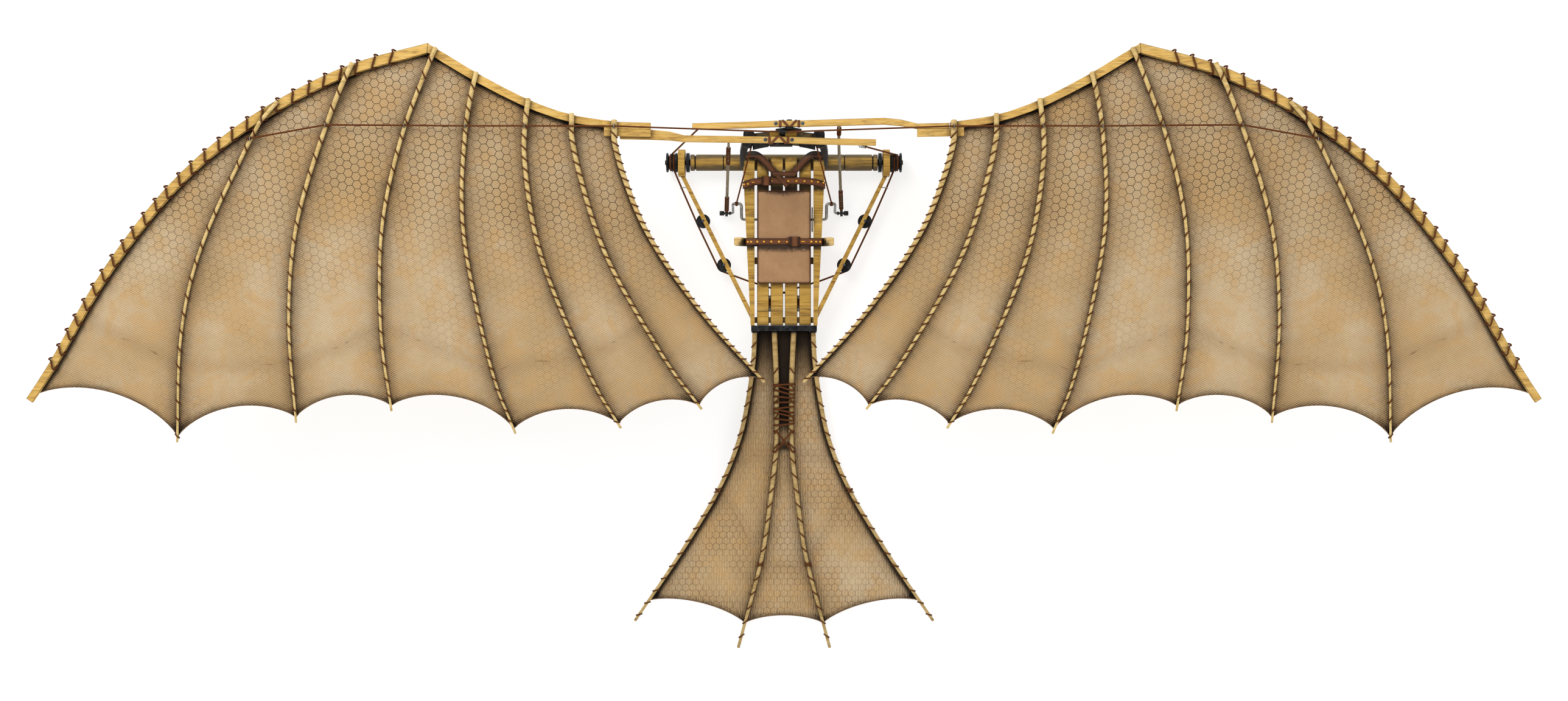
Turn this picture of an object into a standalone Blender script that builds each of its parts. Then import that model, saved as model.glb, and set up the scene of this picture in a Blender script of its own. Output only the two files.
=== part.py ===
"""Man-powered flying machine with two flapping ribbed cloth wings.

Metres. +X is the machine's right, +Y its nose, +Z up. The floor is z = 0 and the
origin is under the middle of the bounding box.
"""
import math

import bmesh
import bpy
from mathutils import Matrix, Vector

GAP = 0.0003

# Drum and its bearings
DRUM_Y = 1.458
DRUM_Z = 0.095
DRUM_R = 0.0605
DRUM_HALF = 0.695
AXLE_R = 0.016
PULLEY_R = 0.072
AXLE_HALF = 0.884
BLOCK_X = 0.7595
BLOCK_THICK = 0.049
BLOCK_LENGTH = 0.198
BLOCK_HEIGHT = 0.19

# Pilot's board
RAIL_INNER = 0.218
RAIL_FRONT_OUTER = 0.300
RAIL_REAR_OUTER = 0.246
RAIL_FRONT_Y = 1.496
RAIL_REAR_Y = 0.245
RAIL_BOTTOM = 0.161
RAIL_TOP = 0.201
SLAT_BOTTOM = 0.162
SLAT_TOP = 0.180
SLAT_FRONT_Y = 1.494
SLAT_REAR_Y = 0.262
SLATS_X = ((-0.199, -0.117), (-0.097, -0.012), (0.012, 0.097), (0.117, 0.199))

# Yoke, cross-beam and wing pivots
HEAD_TOP = 0.600
HEAD_INNER = 0.2247
YOKE_PULLEY_AT = (0.243, 1.597)
BEAM_TOP = 0.700
BEAM_THICK = 0.050
PIVOT_Z = 0.780
PIVOT_R = 0.012
REAR_LEVER_Y = 1.5435
FRONT_LEVER_Y = 1.658
PIVOT_X = 0.038
LEVER_WIDTH = 0.042
LEVER_DEPTH = 0.044

# Crank and push rods
CRANK_Y = 1.031
CRANK_Z = 0.140
CRANK_TUBE_R = 0.0095
PIN_OFFSET_Y = 0.054
PIN_DROP = 0.090
EYE_X = 0.429
ROD_TOP_X = 0.391
ROD_TOP_Z = 0.747
ROD_KNEE = (1.585, 0.430)

# Wings: height of the cloth's upper face, and the spars and ribs on it
CLOTH_ROOT_Z = 0.73
RISE = 0.1847
RISE_FALL_OFF = 0.01447
DROOP = 0.25
DROOP_LENGTH = 2.7
DROOP_START_Y = 2.1
CLOTH_THICK = 0.003
SPAR_HEIGHT = 0.038
SPAR_LIFT = 0.0008
RIB_LIFT = 0.0012
SCALLOP = 0.175
ARM_PATH = ((1.158, 1.626), (1.467, 1.666), (1.760, 1.761), (2.110, 1.935), (2.440, 2.132))
OUTER_PATH = ((2.440, 2.132), (3.000, 1.957), (3.607, 1.622), (4.121, 1.194),
              (4.601, 0.599), (4.982, -0.015), (5.170, -0.283))

# Each rib: distance of its head from the centre line, head radius, tip radius,
# length behind the spar's middle that stays level with its top, and the points it bends through
RIBS = (
    (1.178, 0.0210, 0.0100, 0.05, ((1.155, 1.400), (0.960, 0.890), (0.594, 0.346), (0.142, -0.165))),
    (1.468, 0.0185, 0.0090, 0.05, ((1.447, 1.397), (1.243, 0.724), (0.849, 0.008), (0.588, -0.357))),
    (1.765, 0.0185, 0.0090, 0.05, ((1.795, 1.392), (1.690, 0.721), (1.373, -0.099), (1.158, -0.489))),
    (2.118, 0.0165, 0.0085, 0.06, ((2.194, 1.560), (2.213, 0.868), (2.046, -0.058), (1.890, -0.523))),
    (2.395, 0.0160, 0.0085, 0.06, ((2.598, 1.601), (2.758, 0.935), (2.787, 0.212), (2.733, -0.360))),
    (2.960, 0.0175, 0.0080, 0.07, ((3.123, 1.599), (3.333, 0.918), (3.404, 0.261), (3.384, -0.439))),
    (3.470, 0.0140, 0.0080, 0.12, ((3.623, 1.498), (3.965, 0.782), (4.126, 0.189), (4.195, -0.572))),
)
RIB_FALL = 0.30

# Tail
BRACKET_Y = 0.225
BRACKET_Z = 0.150
TAIL_OUTER = ((0.217, 0.240), (0.217, 0.195), (0.226, 0.001), (0.262, -0.274), (0.335, -0.605),
              (0.490, -0.983), (0.786, -1.475), (1.115, -1.961))
TAIL_INNER = ((0.072, 0.240), (0.072, 0.195), (0.056, -0.170), (0.054, -0.465), (0.059, -0.692),
              (0.127, -1.247), (0.177, -1.535), (0.342, -2.1637))
TAIL_SCALLOP = 0.10
TAIL_CLOTH_GAP = 0.0004


def clear_scene():
    for obj in list(bpy.data.objects):
        bpy.data.objects.remove(obj, do_unlink=True)


def collection(name):
    made = bpy.data.collections.new(name)
    bpy.context.scene.collection.children.link(made)
    return made


clear_scene()
PARTS = collection("flying_machine")
CUTTERS = collection("cutters")


def material(name, colour, roughness, metallic=0.0):
    mat = bpy.data.materials.new(name)
    mat.use_nodes = True
    shader = mat.node_tree.nodes["Principled BSDF"]
    shader.inputs["Base Color"].default_value = (*colour, 1.0)
    shader.inputs["Roughness"].default_value = roughness
    shader.inputs["Metallic"].default_value = metallic
    return mat


PALE_WOOD = ((0.80, 0.62, 0.28), 0.55)
BOARD_WOOD = ((0.62, 0.42, 0.14), 0.5)
ROD_WOOD = ((0.72, 0.55, 0.26), 0.5)
IRON = ((0.02, 0.02, 0.022), 0.4, 0.9)
GREY_STEEL = ((0.22, 0.21, 0.19), 0.4, 0.8)
LEATHER = ((0.40, 0.22, 0.13), 0.6)
STRAP = ((0.15, 0.055, 0.025), 0.55)
CANVAS = ((0.50, 0.36, 0.20), 0.9)


def add(name, data, finish, where=None):
    obj = bpy.data.objects.new(name, data)
    (where or PARTS).objects.link(obj)
    if where is None:
        obj.data.materials.append(material(name, *finish))
    else:
        obj.hide_render = True
        obj.display_type = "WIRE"
    return obj


def mesh_from(name, bm):
    bmesh.ops.recalc_face_normals(bm, faces=bm.faces)
    mesh = bpy.data.meshes.new(name)
    bm.to_mesh(mesh)
    bm.free()
    return mesh


def smooth(obj, angle=40):
    obj.data.shade_smooth()
    obj.data.set_sharp_from_angle(angle=math.radians(angle))


def soften(obj, width, segments=2):
    bevel = obj.modifiers.new("edges", "BEVEL")
    bevel.width = width
    bevel.segments = segments
    bevel.limit_method = "ANGLE"
    bevel.angle_limit = math.radians(50)
    return obj


def box(name, low, high, finish=None, where=None):
    """Box between two corners, its origin at its middle."""
    low, high = Vector(low), Vector(high)
    bm = bmesh.new()
    bmesh.ops.create_cube(bm, size=1.0)
    bmesh.ops.scale(bm, vec=high - low, verts=bm.verts)
    obj = add(name, mesh_from(name, bm), finish, where)
    obj.location = (low + high) / 2
    return obj


TURN = {"X": Matrix.Rotation(math.radians(90), 4, "Y"), "Y": Matrix.Rotation(math.radians(-90), 4, "X"),
        "Z": Matrix.Identity(4)}


def cylinder(name, centre, radius, length, axis, finish=None, where=None, segments=16):
    bm = bmesh.new()
    bmesh.ops.create_cone(bm, cap_ends=True, segments=segments, radius1=radius, radius2=radius, depth=length)
    bmesh.ops.transform(bm, matrix=TURN[axis], verts=bm.verts)
    obj = add(name, mesh_from(name, bm), finish, where)
    obj.location = centre
    smooth(obj)
    return obj


def turned(name, profile, axis, finish, steps=24, where=None, closed=True):
    """Profile of (radius, distance along the axis) points turned about the axis."""
    loop = list(profile)
    area = sum(a[0] * b[1] - b[0] * a[1] for a, b in zip(loop, loop[1:] + loop[:1]))
    if area > 0:
        profile = loop[::-1]
    bm = bmesh.new()
    points = [bm.verts.new((radius, 0.0, along)) for radius, along in profile]
    count = len(points)
    for i in range(count if closed else count - 1):
        bm.edges.new((points[i], points[(i + 1) % count]))
    mesh = bpy.data.meshes.new(name)
    bmesh.ops.transform(bm, matrix=TURN[axis], verts=bm.verts)
    bm.to_mesh(mesh)
    bm.free()
    obj = add(name, mesh, finish, where)
    screw = obj.modifiers.new("turn", "SCREW")
    screw.axis = axis
    screw.steps = steps
    screw.render_steps = steps
    screw.use_merge_vertices = True
    screw.merge_threshold = 0.00001
    screw.use_normal_calculate = True
    screw.use_smooth_shade = False
    bpy.context.view_layer.update()
    return baked(obj)


def baked(obj):
    """Replace an object by its evaluated, welded mesh, so that it can be cut or joined."""
    view = bpy.context.evaluated_depsgraph_get()
    view.update()
    mesh = bpy.data.meshes.new_from_object(obj.evaluated_get(view))
    bm = bmesh.new()
    bm.from_mesh(mesh)
    bmesh.ops.remove_doubles(bm, verts=bm.verts, dist=0.00001)
    bmesh.ops.recalc_face_normals(bm, faces=bm.faces)
    bm.to_mesh(mesh)
    bm.free()
    name, where = obj.name, obj.users_collection[0]
    place = obj.matrix_world.copy()
    bpy.data.objects.remove(obj, do_unlink=True)
    mesh.name = name
    made = bpy.data.objects.new(name, mesh)
    where.objects.link(made)
    made.matrix_world = place
    if where == CUTTERS:
        made.hide_render = True
        made.display_type = "WIRE"
    return made


def combine(obj, other, operation):
    step = obj.modifiers.new(operation.lower(), "BOOLEAN")
    step.operation = operation
    step.object = other
    step.solver = "EXACT"
    return obj


def loft(name, rings, finish, where=None):
    """Closed skin through rings of equal point counts, with flat ends."""
    bm = bmesh.new()
    rows = [[bm.verts.new(point) for point in ring] for ring in rings]
    size = len(rows[0])
    for a, b in zip(rows, rows[1:]):
        for i in range(size):
            j = (i + 1) % size
            bm.faces.new((a[i], a[j], b[j], b[i]))
    bm.faces.new(rows[0])
    bm.faces.new(rows[-1])
    return add(name, mesh_from(name, bm), finish, where)


def smooth_path(points, count):
    """Catmull-Rom curve through the points, sampled evenly by point spacing."""
    points = [Vector(p) for p in points]
    points = [2 * points[0] - points[1]] + points + [2 * points[-1] - points[-2]]
    lengths = [(b - a).length for a, b in zip(points[1:-2], points[2:-1])]
    total = sum(lengths)
    path = []
    for k in range(count + 1):
        want = total * k / count
        leg = 0
        while leg < len(lengths) - 1 and want > lengths[leg]:
            want -= lengths[leg]
            leg += 1
        t = min(1.0, want / lengths[leg])
        a, b, c, d = points[leg:leg + 4]
        path.append(0.5 * (2 * b + (c - a) * t + (2 * a - 5 * b + 4 * c - d) * t * t
                           + (3 * b - a - 3 * c + d) * t ** 3))
    return path


def tube(name, points, radii, finish, resolution=2):
    curve = bpy.data.curves.new(name, "CURVE")
    curve.dimensions = "3D"
    curve.bevel_depth = 1.0
    curve.bevel_resolution = resolution
    curve.use_fill_caps = True
    line = curve.splines.new("POLY")
    line.points.add(len(points) - 1)
    for spot, place, radius in zip(line.points, points, radii):
        spot.co = (*place, 1.0)
        spot.radius = radius
    line.use_smooth = True
    return add(name, curve, finish)


def plate(name, outline, thickness, centre, plane, finish, where=None):
    """Flat outline with a thickness, in the XY, XZ or YZ plane."""
    curve = bpy.data.curves.new(name, "CURVE")
    curve.dimensions = "2D"
    curve.fill_mode = "BOTH"
    curve.extrude = thickness / 2
    line = curve.splines.new("POLY")
    line.points.add(len(outline) - 1)
    for spot, (u, v) in zip(line.points, outline):
        spot.co = (u, v, 0.0, 1.0)
    line.use_cyclic_u = True
    obj = add(name, curve, finish, where)
    obj.location = centre
    if plane == "XZ":
        obj.rotation_euler = (math.radians(90), 0, 0)
    if plane == "YZ":
        obj.rotation_euler = (math.radians(90), 0, math.radians(90))
    bpy.context.view_layer.update()
    return baked(obj)


def rounded(half_u, half_v, radius, steps=5):
    """Rectangle with round corners."""
    outline = []
    for cu, cv, start in ((1, 1, 0), (-1, 1, 90), (-1, -1, 180), (1, -1, 270)):
        for k in range(steps + 1):
            angle = math.radians(start + 90 * k / steps)
            outline.append((cu * (half_u - radius) + radius * math.cos(angle),
                            cv * (half_v - radius) + radius * math.sin(angle)))
    return outline


def band(name, path, width, thickness, centre_y, finish):
    """Strap that follows (x, z) points, its width along Y."""
    rings = []
    for i, (x, z) in enumerate(path):
        before = Vector(path[max(i - 1, 0)])
        after = Vector(path[min(i + 1, len(path) - 1)])
        run = (after - before).normalized()
        out = Vector((-run.y, run.x)) * thickness
        rings.append([(x, centre_y - width / 2, z), (x, centre_y + width / 2, z),
                      (x + out.x, centre_y + width / 2, z + out.y), (x + out.x, centre_y - width / 2, z + out.y)])
    return loft(name, rings, finish)


def empty(name, place):
    obj = bpy.data.objects.new(name, None)
    obj.location = place
    PARTS.objects.link(obj)
    bpy.context.view_layer.update()
    return obj


def carry(axis_empty, *pieces):
    """Put pieces under a joint's empty, where they are, with their origins on it."""
    bpy.context.view_layer.update()
    for piece in pieces:
        local = axis_empty.matrix_world.inverted() @ piece.matrix_world
        piece.data.transform(local)
        piece.parent = axis_empty
        piece.matrix_basis = Matrix.Identity(4)


# Board

def rail(side, name):
    outline = [(side * RAIL_INNER, RAIL_REAR_Y), (side * RAIL_REAR_OUTER, RAIL_REAR_Y),
               (side * RAIL_FRONT_OUTER, 1.36), (side * RAIL_FRONT_OUTER, RAIL_FRONT_Y),
               (side * RAIL_INNER, RAIL_FRONT_Y)]
    middle = (RAIL_BOTTOM + RAIL_TOP) / 2
    obj = plate(name, outline, RAIL_TOP - RAIL_BOTTOM, (0, 0, middle), "XY", BOARD_WOOD)
    saddle = box(name + "_saddle", (side * 0.255 - 0.022, DRUM_Y - 0.085, 0.085),
                 (side * 0.255 + 0.022, DRUM_Y + 0.036, RAIL_BOTTOM + 0.004), where=CUTTERS)
    journal = cylinder(name + "_journal", (side * 0.255, DRUM_Y, DRUM_Z), DRUM_R + 0.0006, 0.2, "X",
                       where=CUTTERS, segments=40)
    bearing = box(name + "_bearing", (side * 0.245 - 0.018, CRANK_Y - 0.026, CRANK_Z - 0.022),
                  (side * 0.245 + 0.018, CRANK_Y + 0.026, RAIL_BOTTOM + 0.004), where=CUTTERS)
    bore = cylinder(name + "_bore", (side * 0.245, CRANK_Y, CRANK_Z), CRANK_TUBE_R + 0.0006, 0.2, "X",
                    where=CUTTERS)
    combine(obj, saddle, "UNION")
    combine(obj, bearing, "UNION")
    combine(obj, journal, "DIFFERENCE")
    combine(obj, bore, "DIFFERENCE")
    return obj


def deck():
    obj = box("deck", (SLATS_X[0][0], SLAT_REAR_Y, SLAT_BOTTOM), (SLATS_X[0][1], SLAT_FRONT_Y, SLAT_TOP),
              BOARD_WOOD)
    for k, (low, high) in enumerate(SLATS_X[1:]):
        slat = box("slat_%d" % k, (low, SLAT_REAR_Y, SLAT_BOTTOM), (high, SLAT_FRONT_Y, SLAT_TOP), where=CUTTERS)
        combine(obj, slat, "UNION")
    for k, (rear, front) in enumerate(((SLAT_REAR_Y + 0.001, 0.307), (0.700, 0.750), (1.290, 1.350))):
        half = RAIL_INNER - GAP
        batten = box("batten_%d" % k, (-half, rear, 0.138), (half, front, SLAT_BOTTOM + 0.006), where=CUTTERS)
        combine(obj, batten, "UNION")
    return obj


def cushion():
    obj = box("cushion", (-0.199, 0.553, SLAT_TOP + GAP), (0.199, 1.240, 0.222), LEATHER)
    soften(obj, 0.012, 2)
    return obj


def belts():
    top = RAIL_TOP + GAP
    edge = RAIL_FRONT_OUTER + GAP
    front = [(-edge, 0.165), (-edge, top), (edge, top), (edge, 0.165)]
    band("belt_front", front, 0.085, 0.004, 1.2935, STRAP)
    over = 0.2225
    rear = [(-0.279, 0.172), (-0.279, 0.2025), (-0.270, 0.204), (-0.200, over), (0.200, over), (0.270, 0.204),
            (0.279, 0.2025), (0.279, 0.172)]
    band("belt_rear", rear, 0.058, 0.004, 0.862, STRAP)
    arm = [(-0.272, 1.492), (-0.246, 1.492), (-0.170, 1.400), (-0.095, 1.372), (0.095, 1.372), (0.170, 1.400),
           (0.246, 1.492), (0.272, 1.492), (0.190, 1.385), (0.100, 1.340), (0.012, 1.340), (-0.038, 1.262),
           (-0.062, 1.275), (-0.022, 1.340), (-0.100, 1.340), (-0.190, 1.385)]
    plate("harness", arm, 0.004, (0, 0, RAIL_TOP + 0.0069), "XY", STRAP)


def strap_bow():
    top = RAIL_BOTTOM - 0.0005
    half = [(0.250, 0.120), (0.310, 0.138), (0.372, 0.222), (0.314, 0.222), (0.290, 0.178), (0.2785, top)]
    outline = half + [(-x, z) for x, z in reversed(half)]
    plate("strap_bow", outline, 0.062, (0, 0.8635, 0), "XZ", ROD_WOOD)


# Drum, blocks and struts

def drum():
    half = DRUM_HALF
    bore = AXLE_R + GAP
    r = DRUM_R
    rings = [(bore, -half), (r, -half), (r, -0.664), (r - 0.010, -0.662), (r - 0.010, -0.655), (r, -0.653),
             (r, -0.452), (r - 0.008, -0.449), (r, -0.446)]
    profile = rings + [(radius, -along) for radius, along in reversed(rings)]
    barrel = turned("drum_barrel", profile, "X", BOARD_WOOD, steps=18)
    barrel.location = (0, DRUM_Y, DRUM_Z)
    groove = 0.052
    end = [(0.0, -AXLE_HALF), (0.018, -AXLE_HALF), (0.018, -0.874), (PULLEY_R, -0.874), (PULLEY_R, -0.861),
           (groove, -0.857), (groove, -0.836), (PULLEY_R - 0.004, -0.833), (PULLEY_R - 0.004, -0.826),
           (groove, -0.822), (groove, -0.812), (PULLEY_R, -0.808), (PULLEY_R, -0.792), (AXLE_R, -0.791),
           (AXLE_R, -0.727), (PULLEY_R, -0.726), (PULLEY_R, -0.702), (0.024, -0.702), (0.024, -half - GAP),
           (AXLE_R, -half - GAP)]
    profile = end + [(radius, -along) for radius, along in reversed(end)]
    axle = turned("drum_axle", profile, "X", IRON, steps=18, closed=False)
    axle.location = (0, DRUM_Y, DRUM_Z)
    carry(empty("drum_axis", (0, DRUM_Y, DRUM_Z)), barrel, axle)


def bearing_block(side, name):
    outline = rounded(BLOCK_LENGTH / 2, BLOCK_HEIGHT / 2, 0.070)
    obj = plate(name, outline, BLOCK_THICK, (side * BLOCK_X, 1.454, BLOCK_HEIGHT / 2), "YZ", BOARD_WOOD)
    bore = cylinder(name + "_bore", (side * BLOCK_X, DRUM_Y, DRUM_Z), AXLE_R + GAP, 0.2, "X", where=CUTTERS,
                    segments=32)
    combine(obj, bore, "DIFFERENCE")


STRUT_FRONT = Vector((0.752, 1.3547, 0.100))
STRUT_REAR = Vector((0.2655, 0.330, 0.180))
ROLLERS = (("front", 0.601, 1.022), ("rear", 0.445, 0.695))
ROLLER_R = 0.052


def strut_height(y):
    t = (STRUT_FRONT.y - y) / (STRUT_FRONT.y - STRUT_REAR.y)
    return STRUT_FRONT.z + t * (STRUT_REAR.z - STRUT_FRONT.z)


def strut(side, name):
    def corner(x, y, z):
        return (side * x, y, z)
    front, rear = STRUT_FRONT, STRUT_REAR
    rings = [[corner(front.x - 0.016, front.y, front.z - 0.014), corner(front.x + 0.016, front.y, front.z - 0.014),
              corner(front.x + 0.016, front.y, front.z + 0.014), corner(front.x - 0.016, front.y, front.z + 0.014)],
             [corner(0.2536, 0.380, rear.z - 0.014), corner(0.2503, 0.300, rear.z - 0.014),
              corner(0.2503, 0.300, rear.z + 0.014), corner(0.2536, 0.380, rear.z + 0.014)]]
    obj = loft(name, rings, BOARD_WOOD)
    for label, x, y in ROLLERS:
        z = strut_height(y)
        pin = cylinder(name + "_pin_" + label, corner(x, y, z - 0.020), 0.008, 0.072, "Z", where=CUTTERS,
                       segments=16)
        head = cylinder(name + "_head_" + label, corner(x, y, z - 0.056), 0.014, 0.006, "Z", where=CUTTERS,
                        segments=16)
        combine(obj, pin, "UNION")
        combine(obj, head, "UNION")
    return obj


def roller(side, name, x, y):
    z = strut_height(y) - 0.036
    r = ROLLER_R
    profile = [(0.0084, -0.014), (r, -0.014), (r, -0.008), (r - 0.010, 0.0), (r, 0.008), (r, 0.014),
               (0.0084, 0.014)]
    obj = turned(name, profile, "Z", IRON, steps=20)
    obj.location = (side * x, y, z)
    carry(empty(name + "_axis", (side * x, y, z)), obj)


def cleat(side, name):
    bar = cylinder(name, (side * 0.107, 0.409, 0.110), 0.015, 0.120, "Y", GREY_STEEL, segments=16)
    for k, y in enumerate((0.365, 0.453)):
        post = box("%s_post_%d" % (name, k), (side * 0.107 - 0.016, y - 0.008, 0.112),
                   (side * 0.107 + 0.016, y + 0.008, SLAT_BOTTOM - GAP), where=CUTTERS)
        combine(bar, post, "UNION")


# Yoke and pivots

def upright(side, name):
    path = ((0.3118, 1.405, 0.163), (0.3118, 1.415, 0.205), (0.302, 1.470, 0.360), (0.275, 1.545, 0.570))
    rings = []
    for x, y, z in path:
        rings.append([(side * (x - 0.011), y - 0.022, z), (side * (x + 0.011), y - 0.022, z),
                      (side * (x + 0.011), y + 0.022, z), (side * (x - 0.011), y + 0.022, z)])
    obj = loft(name, rings, IRON)
    head = plate(name + "_head", rounded(0.0335, 0.068, 0.026), 0.058,
                 (side * (HEAD_INNER + 0.0335), 1.568, HEAD_TOP - 0.029), "XY", None, CUTTERS)
    combine(obj, head, "UNION")
    x, y = YOKE_PULLEY_AT
    for label, radius, low, high in (("boss", 0.013, -0.002, 0.0175), ("pin", 0.007, 0.015, 0.047),
                                     ("cap", 0.011, 0.0445, 0.0495)):
        piece = cylinder("%s_%s" % (name, label), (side * x, y, HEAD_TOP + (low + high) / 2), radius, high - low,
                         "Z", where=CUTTERS, segments=12)
        combine(obj, piece, "UNION")


def yoke_pulley(side, name):
    r = 0.034
    profile = [(0.0074, -0.013), (r, -0.013), (r, -0.008), (r - 0.009, 0.0), (r, 0.008), (r, 0.013),
               (0.0074, 0.013)]
    obj = turned(name, profile, "Z", IRON, steps=16)
    place = (side * YOKE_PULLEY_AT[0], YOKE_PULLEY_AT[1], HEAD_TOP + 0.031)
    obj.location = place
    carry(empty(name + "_axis", place), obj)


def cross_beam():
    rings = []
    steps = 12
    half = HEAD_INNER - GAP
    for k in range(steps + 1):
        x = half * (2 * k / steps - 1)
        arch = 1 - (x / half) ** 2
        top = HEAD_TOP + (BEAM_TOP - HEAD_TOP) * arch
        rear, front = 1.503 + 0.019 * arch, 1.613 + 0.004 * arch
        rings.append([(x, rear, top - BEAM_THICK), (x, front, top - BEAM_THICK), (x, front, top), (x, rear, top)])
    soften(loft("cross_beam", rings, PALE_WOOD), 0.004, 1)


def pivot_outline(low_left, low_right, pin_x):
    outline = [(low_left, 0.0), (low_right, 0.0), (low_right, 0.012)]
    for k in range(9):
        angle = math.radians(20 + 140 * k / 8)
        outline.append((pin_x + 0.032 * math.cos(angle), PIVOT_Z - BEAM_TOP + 0.032 * math.sin(angle)))
    outline.append((low_left, 0.012))
    return outline


def pivot_bracket():
    foot = BEAM_TOP + GAP
    rear_face = REAR_LEVER_Y - LEVER_WIDTH / 2 - 0.005
    front_face = FRONT_LEVER_Y - LEVER_WIDTH / 2 - 0.005
    obj = box("pivot_bracket", (-0.060, rear_face - 0.012, foot), (0.060, front_face, foot + 0.010), IRON)
    rear = plate("pivot_rear", pivot_outline(-0.100, 0.056, -PIVOT_X), 0.012, (0, rear_face - 0.006, foot),
                 "XZ", None, CUTTERS)
    front = plate("pivot_front", pivot_outline(-0.060, 0.125, PIVOT_X), 0.012, (0, front_face - 0.006, foot),
                  "XZ", None, CUTTERS)
    combine(obj, rear, "UNION")
    combine(obj, front, "UNION")
    for label, x, face in (("rear", -PIVOT_X, rear_face), ("front", PIVOT_X, front_face)):
        collar = cylinder("collar_" + label, (x, face + 0.001, PIVOT_Z), 0.021, 0.007, "Y", where=CUTTERS)
        pin = cylinder("pin_" + label, (x, face + 0.026, PIVOT_Z), PIVOT_R, 0.060, "Y", where=CUTTERS)
        end = cylinder("end_" + label, (x, face + 0.0515, PIVOT_Z), 0.019, 0.008, "Y", where=CUTTERS)
        for piece in (collar, pin, end):
            combine(obj, piece, "UNION")
    post = cylinder("ring_post", (-0.0115, 1.588, (foot + 0.880) / 2), 0.008, 0.880 - foot, "Z", where=CUTTERS,
                    segments=16)
    bpy.ops.mesh.primitive_torus_add(major_radius=0.029, minor_radius=0.0055, major_segments=16,
                                     minor_segments=6, location=(-0.0115, 1.588, 0.905),
                                     rotation=(math.radians(90), 0, 0))
    ring = bpy.context.object
    ring.name = "centre_ring"
    for home in list(ring.users_collection):
        home.objects.unlink(ring)
    CUTTERS.objects.link(ring)
    ring.hide_render = True
    ring.display_type = "WIRE"
    combine(obj, post, "UNION")
    combine(obj, ring, "UNION")


# Crank and push rods

def rod_ends(side):
    lever_y = REAR_LEVER_Y if side < 0 else FRONT_LEVER_Y
    bottom = Vector((side * EYE_X, CRANK_Y + PIN_OFFSET_Y, CRANK_Z - PIN_DROP))
    top = Vector((side * ROD_TOP_X, lever_y - 0.004, ROD_TOP_Z))
    return bottom, top


def crankshaft():
    pin_y = CRANK_Y + PIN_OFFSET_Y
    pin_z = CRANK_Z - PIN_DROP
    half = [(0.452, pin_y, pin_z), (0.390, pin_y, pin_z), (0.380, pin_y + 0.008, pin_z + 0.014),
            (0.378, 1.134, 0.150), (0.370, 1.145, 0.168), (0.324, 1.146, 0.170), (0.315, 1.138, 0.168),
            (0.315, 1.041, 0.1425), (0.308, 1.031, 0.140)]
    path = [(-x, y, z) for x, y, z in half] + list(reversed(half))
    shaft = tube("crankshaft", path, [CRANK_TUBE_R] * len(path), GREY_STEEL, resolution=2)
    bpy.context.view_layer.update()
    shaft = baked(shaft)
    for side in (-1, 1):
        knob = cylinder("crank_knob_%d" % side, (side * 0.4035, pin_y, pin_z), 0.015, 0.008, "X", where=CUTTERS,
                        segments=16)
        grip = cylinder("crank_grip_%d" % side, (side * 0.4635, pin_y, pin_z), 0.0175, 0.034, "X", where=CUTTERS,
                        segments=20)
        combine(shaft, knob, "UNION")
        combine(shaft, grip, "UNION")
    wheel = turned("crank_wheel", [(0.0098, -0.004), (0.0925, -0.004), (0.0925, 0.004), (0.0098, 0.004)], "X",
                   PALE_WOOD, steps=32)
    wheel.location = (0.2085, CRANK_Y, CRANK_Z)
    carry(empty("crank_axis", (0, CRANK_Y, CRANK_Z)), shaft, wheel)


def push_rod(side, name):
    """Straight rod on the left; the right one has a neck that passes below the left wing's lever."""
    bottom, top = rod_ends(side)
    bends = []
    if side > 0:
        knee = Vector((bottom.x + 0.85 * (top.x - bottom.x), *ROD_KNEE))
        down, up = (bottom - knee).normalized(), (top - knee).normalized()
        bends = [knee + down * 0.05, knee + (down + up) * 0.012, knee + up * 0.05]
    spine = [bottom] + bends + [top]
    first, final = (spine[1] - bottom).normalized(), (top - spine[-2]).normalized()
    path = [bottom + first * 0.020, bottom + first * 0.10] + bends + [top - final * 0.11, top - final * 0.013]
    rod = baked(tube(name, path, [0.011] * (len(path) - 1) + [0.008], ROD_WOOD))
    eye = turned(name + "_eye", [(0.0100, -0.009), (0.024, -0.009), (0.024, 0.009), (0.0100, 0.009)], "X", None,
                 steps=24, where=CUTTERS)
    eye.location = bottom
    knob = cylinder(name + "_top", top, 0.014, 0.016, "Y", where=CUTTERS, segments=16)
    combine(rod, eye, "UNION")
    combine(rod, knob, "UNION")
    carry(empty(name + "_axis", bottom), rod)


# Wings

def cloth_z(x, y):
    """Height of the cloth's upper face."""
    out = abs(x)
    droop = DROOP * (max(0.0, DROOP_START_Y - y) / DROOP_LENGTH) ** 2
    return CLOTH_ROOT_Z + RISE * out - RISE_FALL_OFF * out * out - droop


def along_path(path, out):
    """Point of a plan path at a distance out from the centre line."""
    for a, b in zip(path, path[1:]):
        if a.x <= out <= b.x:
            return a.lerp(b, (out - a.x) / (b.x - a.x))
    return path[0].copy() if out < path[0].x else path[-1].copy()


ARM_LINE = smooth_path([(x, y, 0) for x, y in ARM_PATH], 10)
OUTER_LINE = smooth_path([(x, y, 0) for x, y in OUTER_PATH], 24)
LEADING = ARM_LINE[:-1] + OUTER_LINE
WRIST_RUN = (OUTER_LINE[1] - ARM_LINE[-2]).normalized()


def rib_plan(head, bends):
    start = along_path(LEADING, head)
    return smooth_path([start] + [(x, y, 0) for x, y in bends], 15)


RIB_PLANS = [rib_plan(rib[0], rib[4]) for rib in RIBS]


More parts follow.
